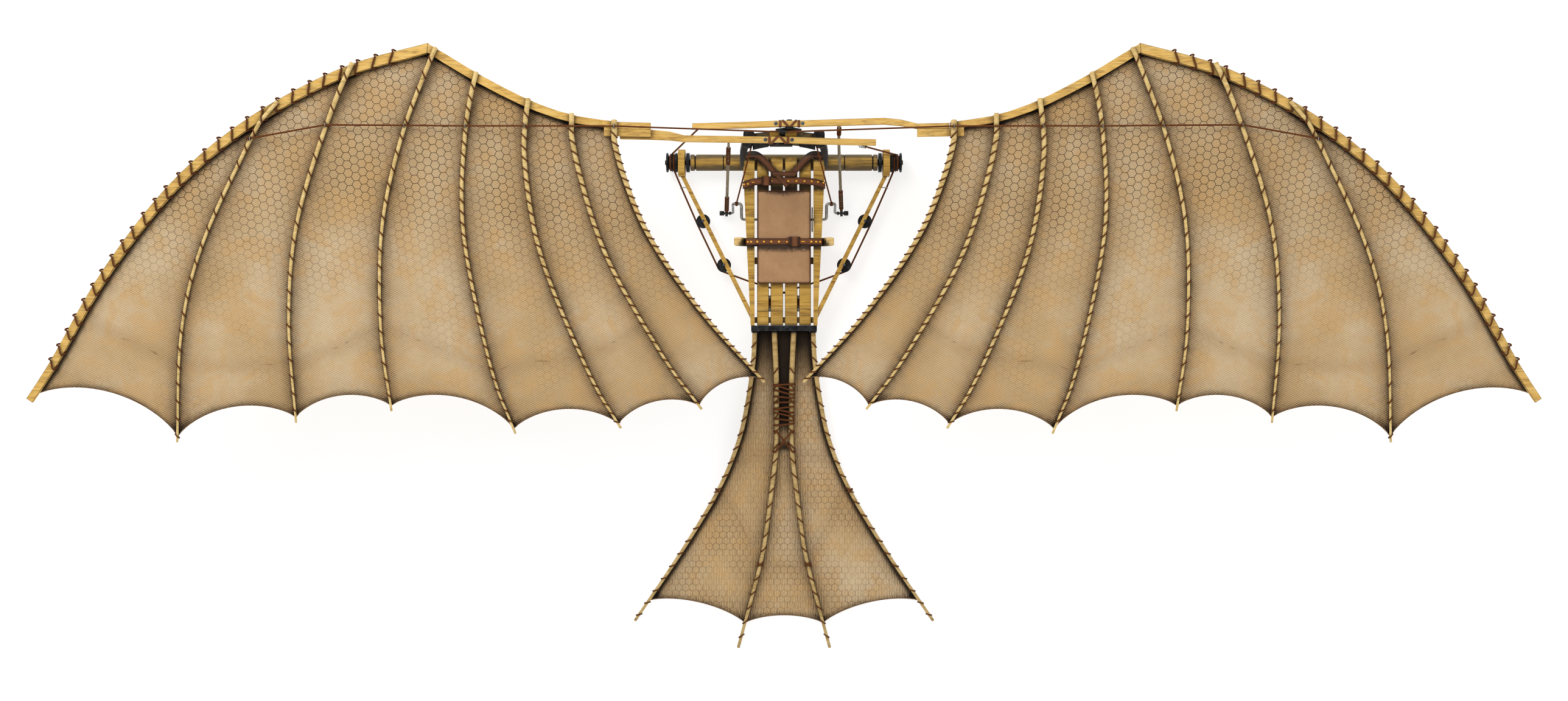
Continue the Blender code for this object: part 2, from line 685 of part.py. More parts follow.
def spar_rings(side, line, width_root, width_tip, height, wrist):
    """Sections of a spar; the one at the wrist lies on the mitre between the two spars."""
    rings = []
    last = len(line) - 1
    for i, spot in enumerate(line):
        run = (line[min(i + 1, last)] - line[max(i - 1, 0)]).normalized() if i != wrist else WRIST_RUN
        across = Vector((-run.y, run.x, 0))
        half = (width_root + (width_tip - width_root) * i / last) / 2
        tall = height * (1 - 0.35 * i / last) if width_tip < width_root else height
        ring = []
        for off, up in ((-half, 0), (half, 0), (half, tall), (-half, tall)):
            spot_at = spot + across * off
            ring.append((side * spot_at.x, spot_at.y, cloth_z(spot_at.x, spot_at.y) + SPAR_LIFT + up))
        rings.append(ring)
    return rings


def rib(side, name, index):
    head, r_head, r_tip, on_spar, bends = RIBS[index]
    plan = RIB_PLANS[index]
    back = (plan[1] - plan[0]).normalized()
    line = [plan[0] - back * (0.030 if index < 5 else 0.050), plan[0], plan[0] + back * on_spar] + plan[1:]
    length = sum((b - a).length for a, b in zip(line, line[1:]))
    spar_top = SPAR_LIFT + SPAR_HEIGHT
    points, radii = [], []
    gone = 0.0
    for i, spot in enumerate(line):
        gone += (spot - line[i - 1]).length if i else 0.0
        radius = r_head + (r_tip - r_head) * (gone / length) ** 0.8
        fall = min(1.0, max(0.0, ((spot - plan[0]).length - on_spar) / RIB_FALL))
        lift = spar_top * 0.5 * (1 + math.cos(math.pi * fall))
        points.append((side * spot.x, spot.y, cloth_z(spot.x, spot.y) + radius + RIB_LIFT + lift))
        radii.append(radius)
    return tube(name, points, radii, PALE_WOOD)


def cloth_panel(bm, side, left, right, front, rear, across, along):
    """Coons patch between two rib lines, the spar line and the scalloped edge."""
    rows = []
    for i in range(along + 1):
        s = i / along
        row = []
        for j in range(across + 1):
            t = j / across
            spot = ((1 - t) * left(s) + t * right(s)
                    + (1 - s) * (front(t) - (1 - t) * left(0) - t * right(0))
                    + s * (rear(t) - (1 - t) * left(1) - t * right(1)))
            row.append(bm.verts.new((side * spot.x, spot.y, cloth_z(spot.x, spot.y))))
        rows.append(row)
    for a, b in zip(rows, rows[1:]):
        for j in range(across):
            bm.faces.new((a[j], a[j + 1], b[j + 1], b[j]))


def line_at(points, t):
    spot = t * (len(points) - 1)
    k = min(int(spot), len(points) - 2)
    return points[k].lerp(points[k + 1], spot - k)


def scallop(a, b, depth):
    """Trailing edge between two rib tips, hollowed forwards by a part of its length."""
    run = b - a
    out = Vector((-run.y, run.x, 0))
    if out.y < 0:
        out = -out
    return lambda t: a.lerp(b, t) + out * depth * (4 * t * (1 - t)) ** 0.8


def cloth(side, name):
    bm = bmesh.new()
    corner = 0.97
    lines = [lambda s, plan=plan: line_at(plan, s * corner) for plan in RIB_PLANS]
    heads = [rib_row[0] for rib_row in RIBS]
    tip_at = 0.985
    outer = smooth_path([along_path(LEADING, heads[6])] + [p for p in OUTER_LINE if p.x > heads[6] + 0.02], 40)
    lines.append(lambda s: line_at(outer, s * tip_at))
    heads.append(heads[6])
    for k in range(7):
        across = 5 if k < 6 else 7
        front = lambda t, k=k: along_path(LEADING, heads[k] + (heads[k + 1] - heads[k]) * t)
        rear = scallop(lines[k](1), lines[k + 1](1), SCALLOP)
        cloth_panel(bm, side, lines[k], lines[k + 1], front, rear, across, 8)
    bmesh.ops.remove_doubles(bm, verts=bm.verts, dist=0.0002)
    bmesh.ops.dissolve_degenerate(bm, edges=bm.edges, dist=0.0001)
    bmesh.ops.recalc_face_normals(bm, faces=bm.faces)
    if sum(face.normal.z for face in bm.faces) < 0:
        bmesh.ops.reverse_faces(bm, faces=bm.faces)
    mesh = bpy.data.meshes.new(name)
    bm.to_mesh(mesh)
    bm.free()
    obj = add(name, mesh, CANVAS)
    shell = obj.modifiers.new("thickness", "SOLIDIFY")
    shell.thickness = CLOTH_THICK
    shell.offset = -1
    return obj


def lever(side, name):
    """Cranked lever: inner arm past the centre, pivot, and outer arm under the arm spar."""
    if side < 0:
        path = ((-0.648, 1.526, 0.780, 0.042), (-0.300, 1.534, 0.780, 0.042), (-0.030, 1.5435, 0.780, 0.042),
                (0.100, 1.5435, 0.784, 0.042), (0.400, 1.5450, 0.807, 0.044), (0.700, 1.5460, 0.833, 0.044),
                (0.800, 1.5640, 0.843, 0.060), (0.927, 1.5705, 0.8581, 0.067), (1.145, 1.5705, 0.8921, 0.067))
        pivot_y = REAR_LEVER_Y
    else:
        path = ((-0.646, 1.639, 0.780, 0.042), (-0.300, 1.648, 0.780, 0.042), (-0.030, 1.658, 0.780, 0.042),
                (0.100, 1.658, 0.784, 0.042), (0.400, 1.663, 0.812, 0.044), (0.700, 1.667, 0.850, 0.044),
                (0.820, 1.652, 0.876, 0.042), (0.928, 1.6245, 0.902, 0.036), (1.150, 1.6245, 0.937, 0.036))
        pivot_y = FRONT_LEVER_Y
    rings = []
    for out, y, z, width in path:
        low, high = z - LEVER_DEPTH / 2, z + LEVER_DEPTH / 2
        if side > 0 and out > 0.9:
            low, high = z - 0.018, z + 0.018
        rings.append([(side * out, y - width / 2, low), (side * out, y + width / 2, low),
                      (side * out, y + width / 2, high), (side * out, y - width / 2, high)])
    obj = loft(name, rings, PALE_WOOD)
    bore = cylinder(name + "_bore", (side * PIVOT_X, pivot_y, PIVOT_Z), PIVOT_R + GAP, 0.3, "Y", where=CUTTERS)
    combine(obj, bore, "DIFFERENCE")
    return obj


def arm_spar(side, name):
    line = [p.copy() for p in ARM_LINE]
    if side < 0:
        line = [Vector((0.930, 1.626, 0)), Vector((1.040, 1.626, 0))] + line
    obj = loft(name, spar_rings(side, line, 0.044, 0.060, SPAR_HEIGHT, len(line) - 1), PALE_WOOD)
    rings = []
    for out, front in ((0.930, 1.6058), (1.010, 1.6058), (1.080, 1.6058), (1.152, 1.6058), (1.160, 1.625),
                       (1.250, 1.625)):
        low = cloth_z(out, 1.626) + SPAR_LIFT
        rings.append([(side * out, 1.552, low), (side * out, front, low), (side * out, front, low + 0.034),
                      (side * out, 1.552, low + 0.034)])
    block = loft(name + "_sleeve", rings, None, CUTTERS)
    combine(obj, block, "UNION")
    return obj


def wing(side, label):
    name = "wing_" + label + "_"
    pivot_y = REAR_LEVER_Y if side < 0 else FRONT_LEVER_Y
    pieces = [lever(side, name + "lever"), arm_spar(side, name + "arm_spar")]
    outer = OUTER_LINE[:]
    outer[0] = outer[0] + WRIST_RUN * 0.0008
    spar = loft(name + "outer_spar", spar_rings(side, outer, 0.070, 0.048, SPAR_HEIGHT, 0), PALE_WOOD)
    pieces.append(spar)
    for k in range(len(RIBS)):
        pieces.append(rib(side, "%srib_%d" % (name, k + 1), k))
    pieces.append(cloth(side, name + "cloth"))
    carry(empty(name + "pivot", (side * PIVOT_X, pivot_y, PIVOT_Z)), *pieces)


# Tail

def tail_rib_line(plan, r_root, r_tip, end_z):
    count = 13
    path = smooth_path([(x, y, 0) for x, y in plan[1:]], count)
    points = [Vector((plan[0][0], plan[0][1], BRACKET_Z)), Vector((plan[1][0], plan[1][1], BRACKET_Z))]
    radii = [r_root, r_root]
    reach = path[0].y - path[-1].y
    for k, spot in enumerate(path[1:]):
        t = (path[0].y - spot.y) / reach
        z = BRACKET_Z + (0.032 - BRACKET_Z) * t
        points.append(Vector((spot.x, spot.y, z)))
        radii.append(r_root + (r_tip - r_root) * t)
    points[-1].z = end_z
    return points, radii


def tail():
    outer, outer_r = tail_rib_line(TAIL_OUTER, 0.018, 0.0105, 0.016)
    inner, inner_r = tail_rib_line(TAIL_INNER, 0.0205, 0.0110, 0.0110)
    bracket = box("tail_bracket", (-0.243, BRACKET_Y - 0.020, BRACKET_Z - 0.014),
                  (0.243, BRACKET_Y + 0.0196, BRACKET_Z + 0.052), IRON)
    for side in (-1, 1):
        for k, (x, r) in enumerate(((0.217, 0.018), (0.072, 0.0205))):
            socket = cylinder("socket_%d_%d" % (side, k), (side * x, BRACKET_Y - 0.010, BRACKET_Z), r + 0.007,
                              0.046, "Y", where=CUTTERS)
            combine(bracket, socket, "UNION")
    for side in (-1, 1):
        for k, (x, r) in enumerate(((0.217, 0.018), (0.072, 0.0205))):
            bore = cylinder("socket_bore_%d_%d" % (side, k), (side * x, BRACKET_Y - 0.045, BRACKET_Z), r + GAP,
                            0.122, "Y", where=CUTTERS)
            combine(bracket, bore, "DIFFERENCE")
        label = "left" if side < 0 else "right"
        tube("tail_rib_outer_" + label, [(side * p.x, p.y, p.z) for p in outer], outer_r, PALE_WOOD)
        tube("tail_rib_inner_" + label, [(side * p.x, p.y, p.z) for p in inner], inner_r, PALE_WOOD)
    tail_cloth(outer, outer_r, inner, inner_r)


def tail_cloth(outer, outer_r, inner, inner_r):
    def under(points, radii):
        return [Vector((p.x, p.y, p.z - r - TAIL_CLOTH_GAP)) for p, r in zip(points, radii)][2:-1]
    left_edge, middle_edge = under(outer, outer_r), under(inner, inner_r)
    bm = bmesh.new()
    half_steps, rows = 4, 10

    def panel(a_line, b_line, a_sign, b_sign):
        def a_at(s):
            p = line_at(a_line, s)
            return Vector((a_sign * p.x, p.y, p.z))

        def b_at(s):
            p = line_at(b_line, s)
            return Vector((b_sign * p.x, p.y, p.z))
        rear = scallop(a_at(1), b_at(1), TAIL_SCALLOP)
        grid = []
        for i in range(rows + 1):
            s = i / rows
            row = []
            for j in range(half_steps + 1):
                t = j / half_steps
                spot = a_at(s).lerp(b_at(s), t) + s ** 3 * (rear(t) - a_at(1).lerp(b_at(1), t))
                row.append(bm.verts.new(spot))
            grid.append(row)
        for a, b in zip(grid, grid[1:]):
            for j in range(half_steps):
                bm.faces.new((a[j], a[j + 1], b[j + 1], b[j]))
    panel(left_edge, middle_edge, -1, -1)
    panel(middle_edge, middle_edge, -1, 1)
    panel(middle_edge, left_edge, 1, 1)
    bmesh.ops.remove_doubles(bm, verts=bm.verts, dist=0.0005)
    bmesh.ops.recalc_face_normals(bm, faces=bm.faces)
    if sum(face.normal.z for face in bm.faces) < 0:
        bmesh.ops.reverse_faces(bm, faces=bm.faces)
    mesh = bpy.data.meshes.new("tail_cloth")
    bm.to_mesh(mesh)
    bm.free()
    obj = add("tail_cloth", mesh, CANVAS)
    shell = obj.modifiers.new("thickness", "SOLIDIFY")
    shell.thickness = CLOTH_THICK
    shell.offset = -1


def build():
    deck()
    cushion()
    belts()
    strap_bow()
    drum()
    cross_beam()
    pivot_bracket()
    crankshaft()
    for side, label in ((-1, "left"), (1, "right")):
        rail(side, "rail_" + label)
        bearing_block(side, "bearing_block_" + label)
        strut(side, "strut_" + label)
        for spot, x, y in ROLLERS:
            roller(side, "roller_%s_%s" % (spot, label), x, y)
        cleat(side, "cleat_" + label)
        upright(side, "yoke_" + label)
        yoke_pulley(side, "yoke_pulley_" + label)
        push_rod(side, "push_rod_" + label)
        wing(side, label)
    tail()


build()
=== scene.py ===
import math

import bmesh
import bpy
import numpy as np
from mathutils import Matrix, Vector


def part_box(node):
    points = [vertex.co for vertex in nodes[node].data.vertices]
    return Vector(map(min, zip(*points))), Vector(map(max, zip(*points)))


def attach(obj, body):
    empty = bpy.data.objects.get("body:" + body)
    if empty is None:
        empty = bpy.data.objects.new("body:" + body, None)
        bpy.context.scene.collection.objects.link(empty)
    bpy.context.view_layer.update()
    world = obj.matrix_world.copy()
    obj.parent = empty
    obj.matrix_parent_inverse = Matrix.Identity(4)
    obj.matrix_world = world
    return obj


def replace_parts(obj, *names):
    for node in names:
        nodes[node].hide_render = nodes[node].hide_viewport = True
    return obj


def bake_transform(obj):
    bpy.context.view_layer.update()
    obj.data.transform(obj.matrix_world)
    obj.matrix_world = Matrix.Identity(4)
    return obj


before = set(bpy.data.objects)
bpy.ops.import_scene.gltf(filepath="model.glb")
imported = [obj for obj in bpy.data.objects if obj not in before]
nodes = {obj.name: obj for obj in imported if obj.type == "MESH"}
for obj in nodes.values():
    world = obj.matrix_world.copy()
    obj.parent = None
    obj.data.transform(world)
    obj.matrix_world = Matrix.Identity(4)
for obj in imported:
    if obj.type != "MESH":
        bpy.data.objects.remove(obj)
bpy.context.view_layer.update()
scene = bpy.context.scene
SIDES = (("left", -1), ("right", 1))
UP = Vector((0, 0, 1))
ACROSS = Vector((1, 0, 0))
FULL_TURN = 2 * math.pi


# Materials

class Graph:
    """A node tree for one material. Sockets and plain values are both given as inputs."""

    def __init__(self, name):
        self.material = bpy.data.materials.new(name)
        self.material.use_nodes = True
        self.tree = self.material.node_tree
        self.tree.nodes.clear()

    def add(self, kind, inputs=None, **settings):
        node = self.tree.nodes.new("ShaderNode" + kind)
        for key, value in settings.items():
            setattr(node, key, value)
        for key, value in (inputs or {}).items():
            self.plug(node.inputs[key], value)
        return node

    def plug(self, socket, value):
        if isinstance(value, bpy.types.NodeSocket):
            self.tree.links.new(value, socket)
        else:
            socket.default_value = value

    def math(self, operation, a, b=0.0, clamp=False):
        return self.add("Math", {0: a, 1: b}, operation=operation, use_clamp=clamp).outputs[0]

    def plus(self, a, b, clamp=False):
        return self.math("ADD", a, b, clamp)

    def minus(self, a, b):
        return self.math("SUBTRACT", a, b)

    def times(self, a, b):
        return self.math("MULTIPLY", a, b)

    def most(self, a, b):
        return self.math("MAXIMUM", a, b)

    def away(self, value, middle=0.0):
        """How far a value lies from the middle one."""
        return self.math("ABSOLUTE", self.minus(value, middle))

    def vector(self, operation, a, b=(0, 0, 0)):
        node = self.add("VectorMath", {0: a, 1: b}, operation=operation)
        return node.outputs["Value" if operation in ("DOT_PRODUCT", "LENGTH") else "Vector"]

    def scaled(self, vector, scale, turn=(0, 0, 0)):
        return self.add("Mapping", {"Vector": vector, "Scale": scale, "Rotation": turn}).outputs[0]

    def split(self, vector):
        return self.add("SeparateXYZ", {0: vector}).outputs

    def attribute(self, name, kind="Fac"):
        return self.add("Attribute", attribute_name=name).outputs[kind]

    def place(self):
        return self.add("TexCoord").outputs["Object"]

    def noise(self, vector, scale, detail=4.0, distortion=0.0):
        return self.add("TexNoise", {"Vector": vector, "Scale": scale, "Detail": detail, "Roughness": 0.55,
                                     "Distortion": distortion}).outputs["Fac"]

    def streaks(self, vector, scale, detail, distortion=0.0):
        return self.noise(self.scaled(vector, scale), 1.0, detail, distortion)

    def ease(self, value, low, high, start=0.0, end=1.0):
        """start below low, end above high, with a smooth turn between."""
        return self.add("MapRange", {"Value": value, "From Min": low, "From Max": high, "To Min": start,
                                     "To Max": end}, interpolation_type="SMOOTHSTEP").outputs[0]

    def mix(self, share, a, b):
        node = self.add("Mix", data_type="RGBA")
        for index, value in ((0, share), (6, a), (7, b)):
            self.plug(node.inputs[index], value)
        return node.outputs[2]

    def ramp(self, value, stops):
        node = self.add("ValToRGB", {"Fac": value})
        points = node.color_ramp.elements
        while len(points) < len(stops):
            points.new(1.0)
        for point, (where, colour) in zip(points, stops):
            point.position, point.color = where, colour
        return node.outputs["Color"]

    def occlusion_shade(self, colour, reach, strength):
        """The colour with painted shade: darker where another surface is within reach, as ambient occlusion finds it.
        """
        shade = self.add("AmbientOcclusion", {"Distance": reach}, samples=4).outputs["AO"]
        return self.mix(self.times(self.ease(shade, 0.35, 1.0, 1.0, 0.0), strength), colour, (0.02, 0.012, 0.006, 1))

    def finish(self, colour, rough, bump=None, depth=0.001, **constant):
        shader = self.add("BsdfPrincipled", {"Base Color": colour, "Roughness": rough})
        for name, value in constant.items():
            shader.inputs[name.replace("_", " ")].default_value = value
        if bump is not None:
            node = self.add("Bump", {"Height": bump, "Strength": 1.0, "Distance": depth})
            self.plug(shader.inputs["Normal"], node.outputs[0])
        output = self.add("OutputMaterial")
        self.plug(output.inputs["Surface"], shader.outputs[0])
        return self.material


def rgb(*screen):
    """A colour given as screen values from 0 to 255, as the linear values that shaders use."""
    return tuple(((c / 255 + 0.055) / 1.055) ** 2.4 if c > 10 else c / 255 / 12.92 for c in screen) + (1.0,)


def to_segment(g, spot, a, b):
    """Distance in plan from spot to the line from a to b."""
    run = (b[0] - a[0], b[1] - a[1], 0)
    size = run[0] ** 2 + run[1] ** 2
    from_a = g.vector("SUBTRACT", spot, (a[0], a[1], 0))
    share = g.math("DIVIDE", g.vector("DOT_PRODUCT", from_a, run), size, clamp=True)
    along = g.add("VectorMath", {0: run, "Scale": share}, operation="SCALE").outputs[0]
    return g.vector("LENGTH", g.vector("SUBTRACT", from_a, along))


# where the painted shadow of the belts and the harness lies on the board, for both sides: from, to, distance with full
# shadow, distance with none, strength
STRAP_SHADOWS = (((0.285, 1.498), (0.204, 1.498), 0.022, 0.062, 0.97), ((0.204, 1.498), (0.160, 1.466), 0.018, 0.070, 0.92),
              ((0.160, 1.466), (0.085, 1.380), 0.016, 0.062, 0.88), ((0.300, 1.268), (0.120, 1.270), 0.014, 0.052, 0.90),
              ((0.120, 1.262), (0.0, 1.248), 0.014, 0.064, 0.94), ((0.300, 0.836), (0.0, 0.828), 0.014, 0.056, 0.92),
              ((0.294, 0.862), (0.262, 0.862), 0.012, 0.032, 0.95), ((0.220, 1.492), (0.0, 1.492), 0.000, 0.050, 0.70))


def strap_shade(g, spot):
    """How dark the painted shadow is that lies beside the belts and the harness, from 0 to 1."""
    plan = g.vector("MULTIPLY", g.vector("ABSOLUTE", spot), (1, 1, 0))
    speck = g.minus(g.plus(g.noise(spot, 260.0, 2.0), g.noise(spot, 45.0, 3.0)), 1.0)
    shade = 0.0
    for a, b, near, far, full in STRAP_SHADOWS:
        shade = g.most(shade, g.ease(g.plus(to_segment(g, plan, a, b), g.times(speck, 0.035)), near, far, full, 0.0))
    return shade


def banded(g, colour, spot, bands, dark):
    """The colour with dark rings across X on both sides of the middle, each as (place, half its width)."""
    out = g.away(g.split(spot)[0])
    for place, half in bands:
        colour = g.mix(g.ease(g.away(out, place), half, half + 0.003, 0.95, 0.0), colour, dark)
    return colour


def wood(name, light, middle, dark, stain=0.0, dust=0.25, soot=False, bands=(), round_y=None, shoe=None):
    """Planed wood with its grain along X. round_y is the middle of a turned piece, which is painted darker at its
    sides as shade.
    With shoe the grain runs along Y and all that lies behind that place is an iron shoe."""
    g = Graph(name)
    light, middle, dark = rgb(*light), rgb(*middle), rgb(*dark)
    spot = g.place()
    if shoe is not None:
        spot = g.scaled(spot, (1, 1, 0.4), (0, 0, math.pi / 2))
    wide = g.streaks(spot, (1.6, 22, 22), 5.0, 0.9)
    streak = g.streaks(spot, (5, 76, 76), 4.0, 0.7)
    fine = g.streaks(spot, (12, 210, 210), 3.0, 0.4)
    grain = g.plus(g.plus(g.times(wide, 0.38), g.times(streak, 0.42)), g.times(fine, 0.20))
    colour = g.ramp(grain, ((0.38, dark), (0.48, middle), (0.58, light)))
    grey = g.times(g.ease(g.streaks(spot, (2.2, 40, 40), 4.0, 1.2), 0.50, 0.68), stain)
    colour = g.mix(grey, colour, rgb(116, 106, 86))
    colour = g.mix(g.ease(g.noise(spot, 5.0, 3.0), 0.35, 0.75, 0.0, dust), colour, dark)
    # Painted shade at the sides of a turned piece, darker away from its middle.
    if round_y is not None:
        wander = g.times(g.minus(g.streaks(spot, (9, 30, 30), 3.0), 0.5), 0.06)
        off = g.plus(g.away(g.split(spot)[1], round_y), wander)
        colour = g.mix(g.ease(off, 0.012, 0.042, 0.0, 0.85), colour, rgb(88, 78, 58))
    if shoe is not None:
        colour = g.mix(g.ease(g.split(g.place())[1], shoe, shoe + 0.002, 1.0, 0.0), colour, rgb(46, 47, 50))
    # Painted shadow that the belts and the harness cast beside them.
    if soot:
        colour = g.mix(strap_shade(g, spot), colour, rgb(24, 16, 8))
    colour = g.occlusion_shade(banded(g, colour, spot, bands, rgb(22, 17, 10)), 0.045, 0.8)
    return g.finish(colour, g.ease(grain, 0.3, 0.7, 0.78, 0.58), grain, 0.0012, Specular_IOR_Level=0.25)


def plain_edge(name, colour, rough, metallic=0.0):
    """The narrow edge of a piece, in one colour with darker specks."""
    g = Graph(name)
    colour = rgb(*colour)
    speck = g.noise(g.place(), 90.0)
    shown = g.mix(g.ease(speck, 0.35, 0.7), colour, tuple(c * 0.45 for c in colour[:3]) + (1,))
    return g.finish(shown, rough, speck, 0.0006, Metallic=metallic)


def metal(name, colour, shine, rough, rust=0.0, bands=(), metallic=0.85):
    """Hammered metal. bands are dark rings across X."""
    g = Graph(name)
    spot = g.place()
    hammered, fine = g.noise(spot, 42.0), g.noise(spot, 300.0, 3.0)
    shown = g.mix(g.ease(hammered, 0.35, 0.7), rgb(*colour), rgb(*shine))
    patch = g.times(g.ease(g.noise(spot, 14.0, 6.0, 0.8), 0.55, 0.75), rust)
    shown = g.mix(patch, shown, rgb(96, 58, 34))
    shown = g.occlusion_shade(banded(g, shown, spot, bands, rgb(26, 27, 29)), 0.02, 0.6)
    roughness = g.ease(g.plus(g.times(hammered, 0.6), g.times(fine, 0.4)), 0.35, 0.7, rough, rough + 0.25)
    return g.finish(shown, roughness, g.plus(hammered, g.times(fine, 0.25)), 0.0009, Metallic=metallic)


CUSHION_MIDDLE, CUSHION_HALF = (0.0, 0.8965, 0.0), (0.199, 0.3435, 0.0)


def leather(name, light, dark, grain=420.0, half=0.0, soot=False, crevice_shade=0.75, front_soot=None):
    """Grained leather. half is half the width of a strap, which is darker at its sides and has a painted sheen along
    its middle.
    soot is for the cushion: painted shadow beside the belts and painted shade towards the pad's edges.
    front_soot is the place forward of which a strap is painted black as shadow."""
    g = Graph(name)
    light, dark = rgb(*light), rgb(*dark)
    spot = g.place()
    pores = g.add("TexVoronoi", {"Vector": spot, "Scale": grain}).outputs["Distance"]
    creases = g.noise(spot, 34.0, 5.0, 1.2)
    shown = g.mix(g.ease(g.noise(spot, 7.0), 0.3, 0.72), dark, light)
    shown = g.mix(g.ease(pores, 0.0, 0.35, 0.35, 0.0), shown, dark)
    speckle = g.ease(g.noise(spot, 190.0, 2.0), 0.40, 0.66, 0.0, 0.34)
    shown = g.mix(speckle, shown, rgb(140, 100, 68) if soot else dark)
    if half:
        across = g.away(g.split(g.attribute("run", "Vector"))[1])
        # Painted sheen along the middle of a strap; its sides are darker.
        shown = g.mix(g.ease(across, 0.0, half * 0.6, 0.24, 0.0), shown, rgb(152, 98, 60))
        shown = g.mix(g.ease(across, half - 0.010, half, 0.0, 0.85), shown, rgb(36, 19, 10))
    if soot:
        # Painted shadow beside the belts, and painted shade towards the pad's rounded edges.
        shown = g.mix(strap_shade(g, spot), shown, rgb(30, 17, 10))
        away = g.vector("SUBTRACT", g.vector("ABSOLUTE", g.vector("SUBTRACT", spot, CUSHION_MIDDLE)), CUSHION_HALF)
        side = g.split(away)
        shown = g.mix(g.ease(g.most(side[0], side[1]), -0.020, 0.0, 0.0, 0.75), shown, rgb(96, 54, 34))
    if front_soot is not None:
        # Painted shadow: forward of front_soot the strap is nearly black.
        place = g.plus(g.split(spot)[1], g.times(g.minus(g.noise(spot, 70.0, 3.0), 0.5), 0.03))
        shown = g.mix(g.ease(place, front_soot, front_soot + 0.018, 0.0, 0.93), shown, rgb(14, 9, 7))
    height = g.plus(g.times(pores, 0.6), g.times(creases, 0.8))
    # Painted shade where other surfaces are near, as strong as crevice_shade.
    return g.finish(g.occlusion_shade(shown, 0.03, crevice_shade), g.ease(creases, 0.3, 0.7, 0.42, 0.62), height, 0.0006,
                    Specular_IOR_Level=0.25)


CORD_LAY = 0.011


def cord_material(name, light, dark):
    """Laid cord: strands that wind round it, from the run attribute of a tube."""
    g = Graph(name)
    light, dark = rgb(*light), rgb(*dark)
    run = g.split(g.attribute("run", "Vector"))
    strands = g.math("SINE", g.times(g.plus(run[0], run[1]), FULL_TURN / CORD_LAY))
    fuzz = g.noise(g.place(), 500.0, 3.0)
    shown = g.mix(g.ease(strands, -0.9, 0.5), dark, light)
    shown = g.mix(g.ease(fuzz, 0.4, 0.8, 0.0, 0.5), shown, dark)
    return g.finish(g.occlusion_shade(shown, 0.010, 0.35), 0.85, g.plus(strands, fuzz), 0.0008, Specular_IOR_Level=0.2)


def hexagons(g, place, flat, turn):
    """How near a point is to the line between two hexagons, in metres: the sides' length is flat / sqrt(3)."""
    root = math.sqrt(3)
    plan = g.scaled(place, (1 / flat, 1 / flat, 0), (0, 0, turn))
    plan = g.vector("MULTIPLY", g.vector("ADD", plan, (400 * root, 400, 0)), (1, 1, 0))
    half = (root / 2, 0.5, 0.5)

    def cell(shifted):
        inside = g.vector("SUBTRACT", g.vector("MODULO", shifted, (root, 1.0, 1.0)), half)
        return g.vector("MULTIPLY", inside, (1, 1, 0))

    one, two = cell(plan), cell(g.vector("SUBTRACT", plan, half))
    nearer = g.math("LESS_THAN", g.vector("DOT_PRODUCT", one, one), g.vector("DOT_PRODUCT", two, two))
    node = g.add("Mix", data_type="VECTOR")
    for index, value in ((0, nearer), (4, two), (5, one)):
        g.plug(node.inputs[index], value)
    spot = g.split(g.vector("ABSOLUTE", node.outputs[1]))
    reach = g.most(spot[1], g.plus(g.times(spot[0], root / 2), g.times(spot[1], 0.5)))
    return g.times(g.minus(0.5, reach), flat)


THREAD = 0.0121


